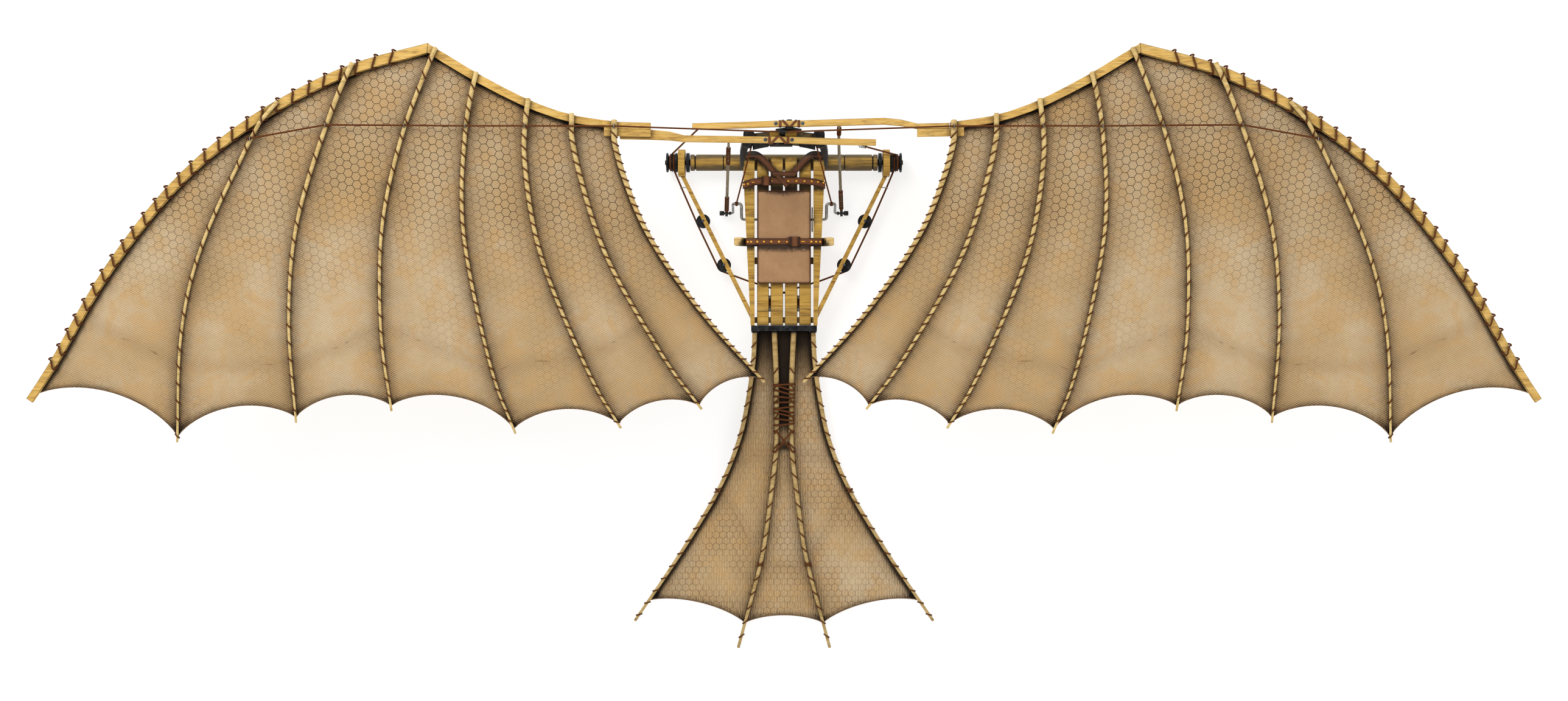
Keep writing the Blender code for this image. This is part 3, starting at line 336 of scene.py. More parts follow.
def cloth_material(name, flat, turn, weave, net_share, tail=False):
    """Coarse woven cloth with a hexagonal net, darker brown near its ribs and edges, partly soiled and partly painted
    shade, with painted black shadow right along them.
    weave is the direction in plan across the threads."""
    g = Graph(name)
    plan = g.attribute("plan", "Vector")
    small, speck = g.noise(plan, 6.0, 5.0, 0.6), g.noise(plan, 120.0, 3.0)
    wander = g.streaks(plan, (60, 22, 1), 4.0) if tail else g.noise(plan, 26.0, 3.0)
    phase = g.times(g.vector("DOT_PRODUCT", plan, weave + (0,)), FULL_TURN / THREAD)
    threads = g.math("SINE", g.plus(phase, g.times(g.minus(wander, 0.5), 9.0 if tail else 5.0)))
    broken = g.ease(g.streaks(plan, (26, 26, 1), 4.0), 0.30, 0.62, 0.35, 1.0)
    dark_thread = g.times(g.ease(threads, 0.0, 1.0), broken)
    light_thread = g.times(g.ease(threads, -1.0, 0.0, 1.0, 0.0), broken)

    colour = g.mix(g.ease(g.noise(plan, 1.5, 5.0), 0.36, 0.64), rgb(188, 157, 112), rgb(206, 183, 148))
    colour = g.mix(g.ease(small, 0.42, 0.68, 0.0, 0.60), colour, rgb(200, 156, 96))
    colour = g.mix(g.times(light_thread, 0.42), colour, rgb(232, 208, 168))
    colour = g.mix(g.times(dark_thread, 0.36), colour, rgb(122, 92, 58))

    line = hexagons(g, plan, flat, turn)
    if tail:
        fade = g.ease(g.noise(plan, 2.6, 2.0), 0.36, 0.58, 0.30, 1.0)
    else:
        fade = g.plus(g.ease(g.attribute("along"), 0.25, 0.80, 1.0, 0.06),
                      g.ease(g.noise(plan, 2.0, 3.0), 0.4, 0.7, -0.12, 0.20), clamp=True)
    ragged_line = g.plus(line, g.times(g.minus(speck, 0.5), 0.0022))
    inside = g.ease(g.attribute("rib"), 0.03, 0.12, 0.4, 1.0)
    net = g.times(g.times(g.ease(ragged_line, 0.0008, 0.0032, 1.0, 0.0), g.times(fade, inside)), net_share)
    colour = g.mix(g.times(fade, 0.16), colour, rgb(140, 112, 78))
    colour = g.mix(net, colour, rgb(66, 51, 37))

    # Darker along the fold lines: painted shade of folds that the sheet itself doesn't have.
    crease = g.attribute("crease")
    fold = g.times(g.ease(crease, 0.0, 0.011, 1.0, 0.0), g.ease(g.noise(plan, 5.0, 2.0), 0.35, 0.6, 0.15, 0.62))
    colour = g.mix(fold, colour, rgb(110, 80, 50))
    colour = g.mix(g.times(g.ease(crease, 0.0, 0.10, 1.0, 0.0), 0.16), colour, rgb(120, 88, 56))

    # Darker brown towards the ribs, the spar and the trailing edge: partly soiled cloth, partly painted shade.
    ragged = g.plus(g.times(g.minus(small, 0.5), 0.05), g.times(g.minus(speck, 0.5), 0.03))
    rib, front, rear = (g.plus(g.attribute(key), ragged) for key in ("rib", "front", "rear"))
    near_rib = g.ease(rib, 0.0, 0.10, 1.0, 0.0)
    near_front = g.ease(front, 0.0, 0.13, 1.0, 0.0)
    near_rear = g.ease(rear, -0.01, 0.055, 1.0, 0.0)
    wide = g.plus(g.ease(rib, 0.0, 0.24, 0.34, 0.0), g.ease(rear, 0.0, 0.20, 0.20, 0.0))
    colour = g.mix(g.times(wide, g.plus(g.times(dark_thread, 0.8), 0.6)), colour, rgb(112, 82, 50))
    brown = g.plus(g.plus(g.times(near_rib, 0.62), g.times(near_front, 0.45)), g.times(near_rear, 0.62))
    hatched = g.times(brown, g.plus(dark_thread, 0.62))
    colour = g.mix(g.math("MINIMUM", hatched, 1.0), colour, rgb(66, 44, 24))
    # Painted black shadow right along the ribs, along the border (rib 1 and the spar of a wing, the outer ribs of the
    # tail) and in the corners.
    corner = g.plus(g.times(near_rib, near_rear), g.times(near_rib, g.times(near_front, 0.6)))
    rib_shadow = g.times(g.ease(rib, 0.0, 0.035, 1.0, 0.0), 0.45)
    beside = g.ease(g.plus(g.attribute("border"), g.times(ragged, 0.3)), 0.0, 0.036, 0.92, 0.0)
    colour = g.mix(g.plus(g.most(rib_shadow, beside), g.times(corner, 0.9), clamp=True), colour, rgb(22, 13, 7))
    # Painted shade: the tail's cloth turns nearly black where it lies in deep shadow.
    if tail:
        deep = g.plus(g.attribute("deep"), g.times(g.minus(small, 0.5), 0.3))
        colour = g.mix(g.ease(deep, 0.1, 0.95, 0.0, 0.965), colour, rgb(20, 12, 9))
    height = g.plus(g.times(light_thread, 0.6), g.times(g.ease(line, 0.0, 0.004, 1.0, 0.0), 0.5))
    return g.finish(colour, 0.92, g.plus(height, g.times(speck, 0.4)), 0.0012, Specular_IOR_Level=0.15,
                    Sheen_Weight=0.12)


WING_WOOD = wood("wing_wood", (234, 194, 114), (218, 174, 90), (172, 134, 74), 0.30, 0.12)
RIB_WOOD = wood("rib_wood", (234, 206, 142), (218, 186, 120), (180, 148, 90), 0.10, 0.1)
TAIL_WOOD = wood("tail_wood", (208, 180, 124), (190, 160, 102), (146, 118, 70), 0.2, 0.2)
BOARD_WOOD = wood("board_wood", (216, 176, 88), (198, 154, 66), (128, 94, 42), 0.35, 0.3, soot=True)
BOW_WOOD = wood("bow_wood", (244, 212, 146), (226, 190, 120), (160, 126, 70), 0.1, 0.1, soot=True)
BLOCK_WOOD = wood("block_wood", (214, 174, 88), (194, 152, 68), (128, 94, 42), 0.2, 0.2)
# The cross beam's dark olive tone is painted shade: it stands for the beam in the levers' shadow.
SHADED_BEAM_WOOD = wood("shaded_beam_wood", (112, 98, 66), (88, 76, 50), (42, 37, 26), 0.5, 0.6)
SADDLE_WOOD = wood("saddle_wood", (196, 156, 60), (170, 130, 44), (104, 76, 26), 0.2, 0.4)
DRUM_WOOD = wood("drum_wood", (196, 154, 70), (164, 130, 62), (100, 82, 50), 0.5, 0.4,
                 bands=((0.6585, 0.003), (0.449, 0.0025), (0.697, 0.003)), round_y=1.458)
ROD_WOOD = wood("rod_wood", (160, 147, 124), (130, 118, 98), (84, 76, 62), 0.4, 0.3, shoe=1.103)
# The dark edges of the wooden pieces are painted shade that outlines them.
WOOD_EDGE = plain_edge("wood_edge", (96, 74, 42), 0.8)
BOARD_EDGE = plain_edge("board_edge", (34, 24, 12), 0.8)
IRON = metal("iron", (28, 29, 32), (56, 58, 61), 0.42, rust=0.12)
BOLT = metal("bolt_iron", (72, 76, 84), (104, 108, 116), 0.38)
IRON_EDGE = plain_edge("iron_edge", (104, 106, 108), 0.4, 0.85)
STEEL = metal("grey_steel", (134, 136, 136), (182, 182, 178), 0.30, rust=0.06)
CRANK_STEEL = metal("crank_steel", (132, 134, 135), (180, 180, 178), 0.30, rust=0.05,
                    bands=((0.4635, 0.0190), (0.4035, 0.0060)))
BRASS = metal("brass", (240, 166, 24), (255, 200, 66), 0.32, metallic=0.35)
CUSHION = leather("cushion_leather", (186, 146, 106), (170, 131, 94), grain=300.0, soot=True, crevice_shade=0.5)
CUSHION_SEAM = leather("cushion_seam", (104, 58, 36), (70, 38, 24))
STRAP = leather("strap_leather", (128, 78, 42), (90, 50, 26), half=0.0245, crevice_shade=0.5)
HARNESS = leather("harness_leather", (104, 62, 36), (66, 38, 20), half=0.0250, crevice_shade=0.6, front_soot=1.487)
LASHING = leather("lashing_leather", (132, 80, 44), (104, 60, 30), crevice_shade=0.25)
CORD = cord_material("cord", (128, 72, 34), (70, 38, 17))
WING_CLOTH = cloth_material("wing_cloth", 0.0565, math.radians(6), (-0.472, 0.882), 1.0)
TAIL_CLOTH = cloth_material("tail_cloth", 0.0507, math.pi / 2, (1.0, 0.0), 0.62, tail=True)
HEM = plain_edge("hem", (132, 100, 66), 0.95)


# Lines and forms

def angles(count):
    return [FULL_TURN * k / count for k in range(count)]


def crosswise(axis):
    """The axis at length 1, and two directions across it."""
    axis = Vector(axis).normalized()
    first = axis.cross(UP if abs(axis.z) < 0.9 else ACROSS).normalized()
    return axis, first, axis.cross(first)


def distances(line):
    """How far along a line of straight legs each of its points is."""
    return np.concatenate([[0], np.cumsum(np.linalg.norm(np.diff(line, axis=0), axis=1))])


def along_line(points, count):
    """count + 1 points evenly spread along a line of straight legs."""
    line = np.array([tuple(p) for p in points], float)
    gone = distances(line)
    spots = np.linspace(0, gone[-1], count + 1)
    return np.stack([np.interp(spots, gone, line[:, k]) for k in range(line.shape[1])], 1)


def spline(a, b, c, d, t):
    """A point of the smooth curve from b to c, at share t."""
    return 0.5 * (2 * b + (c - a) * t + (2 * a - 5 * b + 4 * c - d) * t * t + (3 * b - a - 3 * c + d) * t ** 3)


def with_ends(points):
    return [2 * points[0] - points[1]] + points + [2 * points[-1] - points[-2]]


def smooth_path(points, count):
    """count + 1 points on a smooth curve through all the given points, evenly shared among their legs' lengths."""
    points = [Vector(p).to_3d() for p in points]
    lengths = [(b - a).length for a, b in zip(points, points[1:])]
    total, points = sum(lengths), with_ends(points)
    out, leg, gone = [], 0, 0.0
    for k in range(count + 1):
        want = total * k / count
        while leg < len(lengths) - 1 and want > gone + lengths[leg]:
            gone += lengths[leg]
            leg += 1
        out.append(spline(*points[leg:leg + 4], min(1.0, (want - gone) / lengths[leg])))
    return out


def loop_path(points, count):
    """A closed smooth curve through the points."""
    spots = [k * len(points) / count for k in range(count)]
    return [spline(*(points[(int(s) + j) % len(points)] for j in (-1, 0, 1, 2)), s - int(s)) for s in spots]


def rounded_path(points, radius, steps=7):
    """A path along the points with rounded corners."""
    points = [Vector(p) for p in points]
    out = [points[0]]
    for a, b, c in zip(points, points[1:], points[2:]):
        back, on = (a - b).normalized(), (c - b).normalized()
        reach = radius / math.tan(back.angle(on) / 2)
        out += [b + back * (reach * (1 - k / steps) ** 2) + on * (reach * (k / steps) ** 2) for k in range(steps + 1)]
    return out + [points[-1]]


def along_path(path, out):
    """The point of a path whose x is out."""
    for a, b in zip(path, path[1:]):
        if min(a.x, b.x) <= out <= max(a.x, b.x):
            return a.lerp(b, (out - a.x) / (b.x - a.x))
    return path[-1].copy()


def line_at(points, t):
    spot = t * (len(points) - 1)
    i = min(int(spot), len(points) - 2)
    return points[i].lerp(points[i + 1], spot - i)


def fine_line(points, radii, fine=3):
    """A smooth line through the points, with the radius at each of its points."""
    last, ends, out = len(points) - 1, with_ends(points), []
    for k in range(fine * last + 1):
        i = min(k // fine, last - 1)
        t = k / fine - i
        out.append((spline(*ends[i:i + 4], t), radii[i] + (radii[i + 1] - radii[i]) * t))
    return out


def mirrored(points, side):
    """Points given for the right side of x = 0, put on that side."""
    return [Vector((side * p[0], p[1], p[2])) for p in points]


def new_piece(mesh, material, body, facts, smooth=True, merge=None):
    """Puts a mesh in the scene with its material, its point attributes and the body it rides on."""
    mesh.materials.append(material)
    mesh.polygons.foreach_set("use_smooth", [smooth] * len(mesh.polygons))
    for key, values in facts.items():
        kind, field = ("FLOAT_VECTOR", "vector") if values.ndim == 2 else ("FLOAT", "value")
        mesh.attributes.new(key, kind, "POINT").data.foreach_set(field, values.astype(np.float32).ravel())
    bm = bmesh.new()
    bm.from_mesh(mesh)
    if merge:
        bmesh.ops.remove_doubles(bm, verts=bm.verts, dist=merge)
    bmesh.ops.recalc_face_normals(bm, faces=bm.faces)
    bm.to_mesh(mesh)
    bm.free()
    piece = bpy.data.objects.new(mesh.name, mesh)
    scene.collection.objects.link(piece)
    if body:
        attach(piece, body)
    return piece


class Form:
    """Points and faces of one piece, put together from tubes, straps, rings and domes."""

    def __init__(self):
        self.points, self.faces, self.run = [], [], []

    def grid(self, rings, runs=None, closed=False):
        """Joins rings of equal length into a skin. runs holds the run attribute of every point."""
        start, count, rows = len(self.points), len(rings[0]), len(rings)
        for ring, run in zip(rings, runs or [[(0, 0, 0)] * count] * rows):
            self.points += [tuple(p) for p in ring]
            self.run += run
        for i in range(rows if closed else rows - 1):
            one, two = start + i * count, start + (i + 1) % rows * count
            self.faces += [(one + k, one + (k + 1) % count, two + (k + 1) % count, two + k) for k in range(count)]
        if not closed:
            end = start + (rows - 1) * count
            self.faces += [tuple(start + k for k in reversed(range(count))), tuple(end + k for k in range(count))]
        return self

    def sweep(self, path, section, closed=False, up=None, scale=None):
        """Moves a closed section, given as (sideways, upward) pairs, along a path. With up the section stays
        level to that direction, and without it the section doesn't twist."""
        path = [Vector(p) for p in path]
        count = len(path)
        rings, runs, gone, side = [], [], 0.0, None
        girth = [0.0]
        for a, b in zip(section, section[1:] + section[:1]):
            girth.append(girth[-1] + math.dist(a, b))
        for i, spot in enumerate(path):
            ahead = path[(i + 1) % count] if closed or i + 1 < count else spot
            behind = path[i - 1] if closed or i else spot
            heading = (ahead - behind).normalized()
            if up is not None:
                side = heading.cross(up[i] if isinstance(up, list) else up).normalized()
            elif side is None:
                side = crosswise(heading)[1]
            else:
                side = (side - heading * side.dot(heading)).normalized()
            top = side.cross(heading).normalized()
            size = scale[i] if scale else 1.0
            rings.append([spot + (side * x + top * y) * size for x, y in section])
            around = [x for x, _ in section] if up is not None else girth[:-1]
            runs.append([(gone, place * size, 0.0) for place in around])
            gone += (ahead - spot).length
        return self.grid(rings, runs, closed)

    def tube(self, path, radius, sides=8, closed=False, scale=None):
        section = [(radius * math.cos(a), radius * math.sin(a)) for a in angles(sides)]
        return self.sweep(path, section, closed, scale=scale)

    def strap(self, path, width, thick, up=UP):
        """A flat strap with rounded sides."""
        a, t = width / 2, thick / 2
        side = [(a - t * 0.4, -t), (a, -t * 0.4), (a, t * 0.4), (a - t * 0.4, t), (a - 0.0025, t * 1.15)]
        return self.sweep(path, [(-side[0][0], -t)] + side + [(0, t)] + [(-x, y) for x, y in side[:0:-1]], up=up)

    def ring(self, centre, axis, major, minor, count=20):
        _, first, second = crosswise(axis)
        path = [Vector(centre) + first * (major * math.cos(a)) + second * (major * math.sin(a)) for a in angles(count)]
        return self.tube(path, minor, 6, closed=True)

    def turned(self, centre, axis, profile, sides=20):
        """A turned piece: profile holds (radius, height along the axis) pairs from the bottom up."""
        axis, first, second = crosswise(axis)
        return self.grid([[Vector(centre) + axis * h + (first * math.cos(a) + second * math.sin(a)) * r
                           for a in angles(sides)] for r, h in profile])

    def dome(self, centre, axis, radius, height):
        """A round-headed stud with a short foot."""
        steps = [(radius * 0.96, -height * 0.6), (radius, 0.0)]
        steps += [(radius * math.cos(a), height * math.sin(a)) for a in (0.4, 0.8, 1.15, 1.45)]
        return self.turned(centre, axis, steps, 14)

    def piece(self, name, material, body=None, smooth=True):
        mesh = bpy.data.meshes.new(name)
        mesh.from_pydata(self.points, [], self.faces)
        return new_piece(mesh, material, body, {"run": np.array(self.run, float)}, smooth)


def rope(name, path, radius, body, other=None):
    """A taut rope along a path, on one body; one that runs between two bodies from start to end rides on neither and
    stays as drawn.
    """
    piece = Form().tube(path, radius, 8).piece(name, CORD, None if other else body)
    if other:
        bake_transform(piece)


# The wings' plan, as in the part's source, for the right side

def cloth_z(x, y):
    """Height of the wing cloth's upper side."""
    x = abs(x)
    return 0.73 + 0.1847 * x - 0.01447 * x * x - 0.25 * (max(0.0, 2.1 - y) / 2.7) ** 2


CLOTH_THICK = 0.003
SPAR_HEIGHT = 0.038
SPAR_LIFT = 0.0008
RIB_LIFT = 0.0012
RIB_FALL = 0.30
SCALLOP = 0.175
ARM_PATH = ((1.158, 1.626), (1.467, 1.666), (1.760, 1.761), (2.110, 1.935), (2.440, 2.132))
OUTER_PATH = ((2.440, 2.132), (3.000, 1.957), (3.607, 1.622), (4.121, 1.194), (4.601, 0.599),
              (4.982, -0.015), (5.170, -0.283))
OUTER_LINE = smooth_path(OUTER_PATH, 24)
LEADING = smooth_path(ARM_PATH, 10)[:-1] + OUTER_LINE
# head x, radius at the head, radius at the tip, length on the spar, bends
RIBS = (
    (1.178, 0.0210, 0.0100, 0.05, ((1.155, 1.400), (0.960, 0.890), (0.594, 0.346), (0.142, -0.165))),
    (1.468, 0.0185, 0.0090, 0.05, ((1.447, 1.397), (1.243, 0.724), (0.849, 0.008), (0.588, -0.357))),
    (1.765, 0.0185, 0.0090, 0.05, ((1.795, 1.392), (1.690, 0.721), (1.373, -0.099), (1.158, -0.489))),
    (2.118, 0.0165, 0.0085, 0.06, ((2.194, 1.560), (2.213, 0.868), (2.046, -0.058), (1.890, -0.523))),
    (2.395, 0.0160, 0.0085, 0.06, ((2.598, 1.601), (2.758, 0.935), (2.787, 0.212), (2.733, -0.360))),
    (2.960, 0.0175, 0.0080, 0.07, ((3.123, 1.599), (3.333, 0.918), (3.404, 0.261), (3.384, -0.439))),
    (3.470, 0.0140, 0.0080, 0.12, ((3.623, 1.498), (3.965, 0.782), (4.126, 0.189), (4.195, -0.572))),
)
HEADS = [rib[0] for rib in RIBS]
# where each rib's first lashing is, and how far apart its lashings are
LASHING_FIRST = (0.10, 0.12, 0.11, 0.10, 0.09, 0.10, 0.16)
LASHING_STEP = (0.064, 0.076, 0.076, 0.079, 0.113, 0.118, 0.122)
LASHING_CORD = 0.0046
WING_LASHING_TURN, TAIL_LASHING_TURN = math.radians(50), math.radians(43)
# rib index and the y at which the bracing rope crosses it
GUIDES = {0: 1.613, 2: 1.606, 3: 1.603, 4: 1.601, 5: 1.597, 6: 1.498}
CENTRE_RING = Vector((-0.0115, 1.588, 0.905))
BRACE_CORD = 0.0060
RIB_PLANS = [smooth_path([along_path(LEADING, rib[0])] + [Vector(p) for p in rib[4]], 15) for rib in RIBS]


def rib_axis(index):
    """The rib's middle line, each point with the radius there."""
    _, r_head, r_tip, on_spar, _ = RIBS[index]
    plan = RIB_PLANS[index]
    back = (plan[1] - plan[0]).normalized()
    line = [plan[0] - back * (0.030 if index < 5 else 0.050), plan[0], plan[0] + back * on_spar] + plan[1:]
    gone = distances(np.array(line))
    spots, radii = [], []
    for spot, share in zip(line, gone / gone[-1]):
        radius = r_head + (r_tip - r_head) * share ** 0.8
        fall = min(1.0, max(0.0, ((spot - plan[0]).length - on_spar) / RIB_FALL))
        lift = (SPAR_LIFT + SPAR_HEIGHT) * 0.5 * (1 + math.cos(math.pi * fall))
        spots.append(Vector((spot.x, spot.y, cloth_z(spot.x, spot.y) + radius + RIB_LIFT + lift)))
        radii.append(float(radius))
    return fine_line(spots, radii)


def rib_pole(node, axis, material, body):
    """A tapered rib with a rounded tip and head."""
    spots, radii = [p for p, _ in axis], [r for _, r in axis]
    back, heading = (spots[0] - spots[1]).normalized(), (spots[-1] - spots[-2]).normalized()
    spots = [spots[0] + back * 0.004] + spots + [spots[-1] + heading * 0.003]
    pole = Form().tube(spots, 1.0, 12, scale=[radii[0] * 0.6] + radii + [radii[-1] * 0.55])
    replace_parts(pole.piece(node + "_pole", material, body), node)


def walk(axis, first, step):
    """(spot, heading, radius) every step along a rib's axis, from first on."""
    gone, want, out = 0.0, first, []
    for (a, r), (b, q) in zip(axis, axis[1:]):
        leg = (b - a).length
        while want <= gone + leg:
            share = (want - gone) / leg
            out.append((a.lerp(b, share), (b - a).normalized(), r + (q - r) * share))
            want += step
        gone += leg
    return [row for row in out if (row[0] - axis[-1][0]).length > 0.03]


def lash(form, axis, first, step, turn):
    """Slanted turns of cord round a rib."""
    for spot, heading, radius in walk(axis, first, step):
        across = Matrix.Rotation(turn, 3, "Z") @ Vector((heading.x, heading.y, 0)).normalized()
        half, high = radius + LASHING_CORD + 0.0075, radius + LASHING_CORD * 0.8
        path = [spot + across * (half * math.cos(a)) + UP * (high * math.sin(a)) for a in angles(14)]
        form.tube(path, LASHING_CORD, 6, closed=True)


# Fold lines of the wing cloth, in plan, for either side
WING_FOLDS = (((4.90, 0.33), (4.52, 0.14), (4.14, -0.04), (3.72, -0.05), (3.34, -0.02), (3.05, 0.10), (2.80, 0.23),
               (2.53, 0.13), (2.24, 0.01), (2.08, -0.07)),
              ((2.05, -0.08), (1.75, -0.02), (1.49, 0.0), (1.25, 0.09), (1.03, 0.22)))


def to_lines(points, lines):
    """The distance in plan from each point to the nearest of some lines."""
    best = np.full(len(points), 9.0)
    for line in lines:
        line = np.array([tuple(p)[:2] for p in line])
        for a, b in zip(line, line[1:]):
            leg = b - a
            t = np.clip(((points[:, :2] - a) @ leg) / (leg @ leg), 0, 1)
            best = np.minimum(best, np.linalg.norm(points[:, :2] - (a + t[:, None] * leg), axis=1))
    return best


def stretched(name, grid, facts, material, body, side, hems):
    """A sheet from a grid of points on its upper side, with two faces CLOTH_THICK apart, a rim and hems. facts
    holds point attributes of the grid. The plan attribute is mirrored where side is -1."""
    rows, columns = grid.shape[:2]
    top = grid.reshape(-1, 3)
    normal = np.cross(np.gradient(grid, axis=1), np.gradient(grid, axis=0))
    length = np.linalg.norm(normal, axis=2)
    for i in range(rows - 2, -1, -1):  # where a row shrinks to one point, it leans as the row behind it does
        pinched = length[i] < 1e-8
        normal[i][pinched], length[i][pinched] = normal[i + 1][pinched], length[i + 1][pinched]
    normal /= length[:, :, None]
    if normal[rows // 2, columns // 2, 2] < 0:
        normal = -normal
    under = top - normal.reshape(-1, 3) * CLOTH_THICK
    count = rows * columns
    index = np.arange(count).reshape(rows, columns)
    quads = np.stack([index[:-1, :-1], index[:-1, 1:], index[1:, 1:], index[1:, :-1]], -1).reshape(-1, 4)
    rim = np.concatenate([index[0, :-1], index[:-1, -1], index[-1, :0:-1], index[:0:-1, 0]])
    after = np.roll(rim, -1)
    sides = np.stack([rim, rim + count, after + count, after], -1)
    mesh = bpy.data.meshes.new(name + "_canvas")
    mesh.from_pydata(np.concatenate([top, under]).tolist(), [],
                     np.concatenate([quads, quads[:, ::-1] + count, sides]).tolist())
    facts = dict(facts, plan=top * (side, 1, 1))
    cloth = new_piece(mesh, material, body, {key: np.concatenate([v, v]) for key, v in facts.items()}, merge=0.0001)
    hem = Form()
    for line, radius in hems:
        hem.tube([Vector(p) - UP * 0.0015 for p in line], radius, 6)
    edge = hem.piece(name + "_hem", HEM, body)
    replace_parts(cloth, name + "_cloth")


def scalloped(a, b, depth, t):
    """A trailing edge that curves forward between two rib tips by a part of its length."""
    chord = b - a
    across = Vector((-chord.y, chord.x, 0))
    return a.lerp(b, t) + (-across if across.y < 0 else across) * depth * (4 * t * (1 - t)) ** 0.8


PANEL_ACROSS, PANEL_ALONG = 24, 72
CLOTH_END = 0.985
WING_SAG, TAIL_SAG = 0.012, 0.008


def wing_points():
    """Rows of the right wing's cloth from the leading edge back, with columns from rib 1 outward, and for each
    point how far back it is."""
    outer = [along_path(LEADING, HEADS[6])] + [p for p in OUTER_LINE if p.x > HEADS[6] + 0.02]
    lines = RIB_PLANS + [smooth_path(outer, 40)]
    rows, back = [], []
    for i in range(PANEL_ALONG + 1):
        s = i / PANEL_ALONG
        rows.append([])
        for k in range(7):
            (a0, a, a1), (b0, b, b1) = ([line_at(line, share * CLOTH_END) for share in (0, s, 1)]
                                        for line in lines[k:k + 2])
            next_head = HEADS[min(k + 1, 6)]
            for j in range(PANEL_ACROSS + (k == 6)):
                t = j / PANEL_ACROSS
                ahead = along_path(LEADING, HEADS[k] + (next_head - HEADS[k]) * t)
                behind = scalloped(a1, b1, SCALLOP, t)
                spot = a.lerp(b, t) + (1 - s) * (ahead - a0.lerp(b0, t)) + s * (behind - a1.lerp(b1, t))
                sag = WING_SAG * 4 * t * (1 - t) * math.sin(math.pi * min(1.0, s * 1.02) ** 0.8) ** 0.6
                rows[-1].append((spot.x, spot.y, cloth_z(spot.x, spot.y) - sag))
                back.append(s)
    return np.array(rows), np.array(back)


def wing_cloths():
    grid, back = wing_points()
    flat = grid.reshape(-1, 3)
    front = to_lines(flat, [LEADING])
    facts = {"rib": to_lines(flat, RIB_PLANS), "front": front, "rear": to_lines(flat, [grid[-1]]), "along": back,
             "crease": to_lines(flat, WING_FOLDS),
             "border": np.minimum(to_lines(flat, RIB_PLANS[:1]) - 0.014, front - 0.030)}
    for label, side in SIDES:
        body = "wing_" + label
        placed = grid * (side, 1, 1)
        stretched(body, placed, facts, WING_CLOTH, body, side, ((placed[-1], 0.0040), (placed[:, 0], 0.0030)))


def wing_ribs(label, side):
    """Seven ribs, their lashings, the guide rings that stand on them and the bracing rope."""
    body = "wing_" + label
    lashings, rings, brace = Form(), Form(), []
    for k in range(7):
        axis = [(mirrored([p], side)[0], r) for p, r in rib_axis(k)]
        rib_pole("%s_rib_%d" % (body, k + 1), axis, RIB_WOOD, body)
        lash(lashings, axis, LASHING_FIRST[k], LASHING_STEP[k], -side * WING_LASHING_TURN)
        if k in GUIDES:
            spot, radius = next((p.lerp(q, (p.y - GUIDES[k]) / (p.y - q.y)), r)
                                for (p, r), (q, _) in zip(axis, axis[1:]) if p.y >= GUIDES[k] > q.y)
            brace.append(spot + UP * (radius + 0.0085))
            rings.ring(brace[-1], (1, 0, 0.1 * side), 0.0135, 0.0028)
    lashings.piece(body + "_rib_lashings", CORD, body)
    rings.piece(body + "_guide_rings", STEEL, body)
    start = CENTRE_RING + Vector((side * 0.020, 0, -0.018))
    rope(body + "_brace_rope", along_line([start] + brace, 90), BRACE_CORD, "frame", body)
    knot = Form()
    for at in (0.0, 0.011):
        knot.ring(brace[-1] + Vector((side * at, 0, 0.001)), (1, 0.35, 0.2), 0.0085, 0.0042)
    end = mirrored(((-0.004, 0.004, 0.004), (0.010, 0.012, 0.006), (0.020, 0.004, 0.002), (0.024, -0.010, -0.004)), side)
    knot.tube([brace[-1] + p for p in end], 0.0040, 6)
    knot.piece(body + "_brace_knot", CORD, body)


LOOP_COUNT, LOOP_FIRST, LOOP_STEP = 28, 0.252, 0.1190
SPAR_WIDTH_ROOT, SPAR_WIDTH_TIP = 0.070, 0.048


def spar_loops(label, side):
    """The rope that laces the cloth to the outer spar, a hooked loop every 12 cm."""
    body = "wing_" + label
    line = along_line(OUTER_LINE, 400)
    gone = distances(line)
    form = Form()
    for k in range(LOOP_COUNT):
        want = LOOP_FIRST + LOOP_STEP * k
        i = min(int(np.searchsorted(gone, want)), len(line) - 2)
        spot = Vector(line[i])
        run = (Vector(line[i + 1]) - Vector(line[i - 1])).normalized()
        out = Vector((-run.y, run.x, 0))
        if out.x < 0:
            out = -out
        trim = (SPAR_WIDTH_TIP - SPAR_WIDTH_ROOT) * want / gone[-1] / 2
        low = cloth_z(spot.x, spot.y) + SPAR_LIFT
        top = low + SPAR_HEIGHT
        middle = (low + top) / 2
        points = []
        for along, across, high in ((0.020, -0.034 - trim, top + 0.004), (-0.020, 0.030 + trim, top + 0.004),
                                    (-0.020, 0.048 + trim, top - 0.003), (-0.030, 0.048 + trim, middle),
                                    (-0.036, 0.032 + trim, low - 0.006), (-0.012, -0.032 - trim, low - 0.007),
                                    (0.004, -0.043 - trim, middle)):
            place = spot + run * along + out * across
            points.append(Vector((side * place.x, place.y, high)))
        form.tube(loop_path(points, 28), 0.0060, 6, closed=True)
    form.piece(body + "_spar_loops", CORD, body)


# Tail

BRACKET_Z = 0.150
TAIL_END_Z = 0.032
TAIL_SCALLOP = 0.10
TAIL_GAP = 0.0004
TAIL_FRONT = 0.1905
TAIL_TUCK = 0.0225
TAIL_FOLDS = (((0.056, -0.72), (0.17, -0.70), (0.30, -0.76), (0.335, -0.60)),
              ((0.16, -1.545), (0.0, -1.552), (-0.16, -1.545)),
              ((0.46, -0.99), (0.34, -1.20), (0.24, -1.42), (0.18, -1.53)))


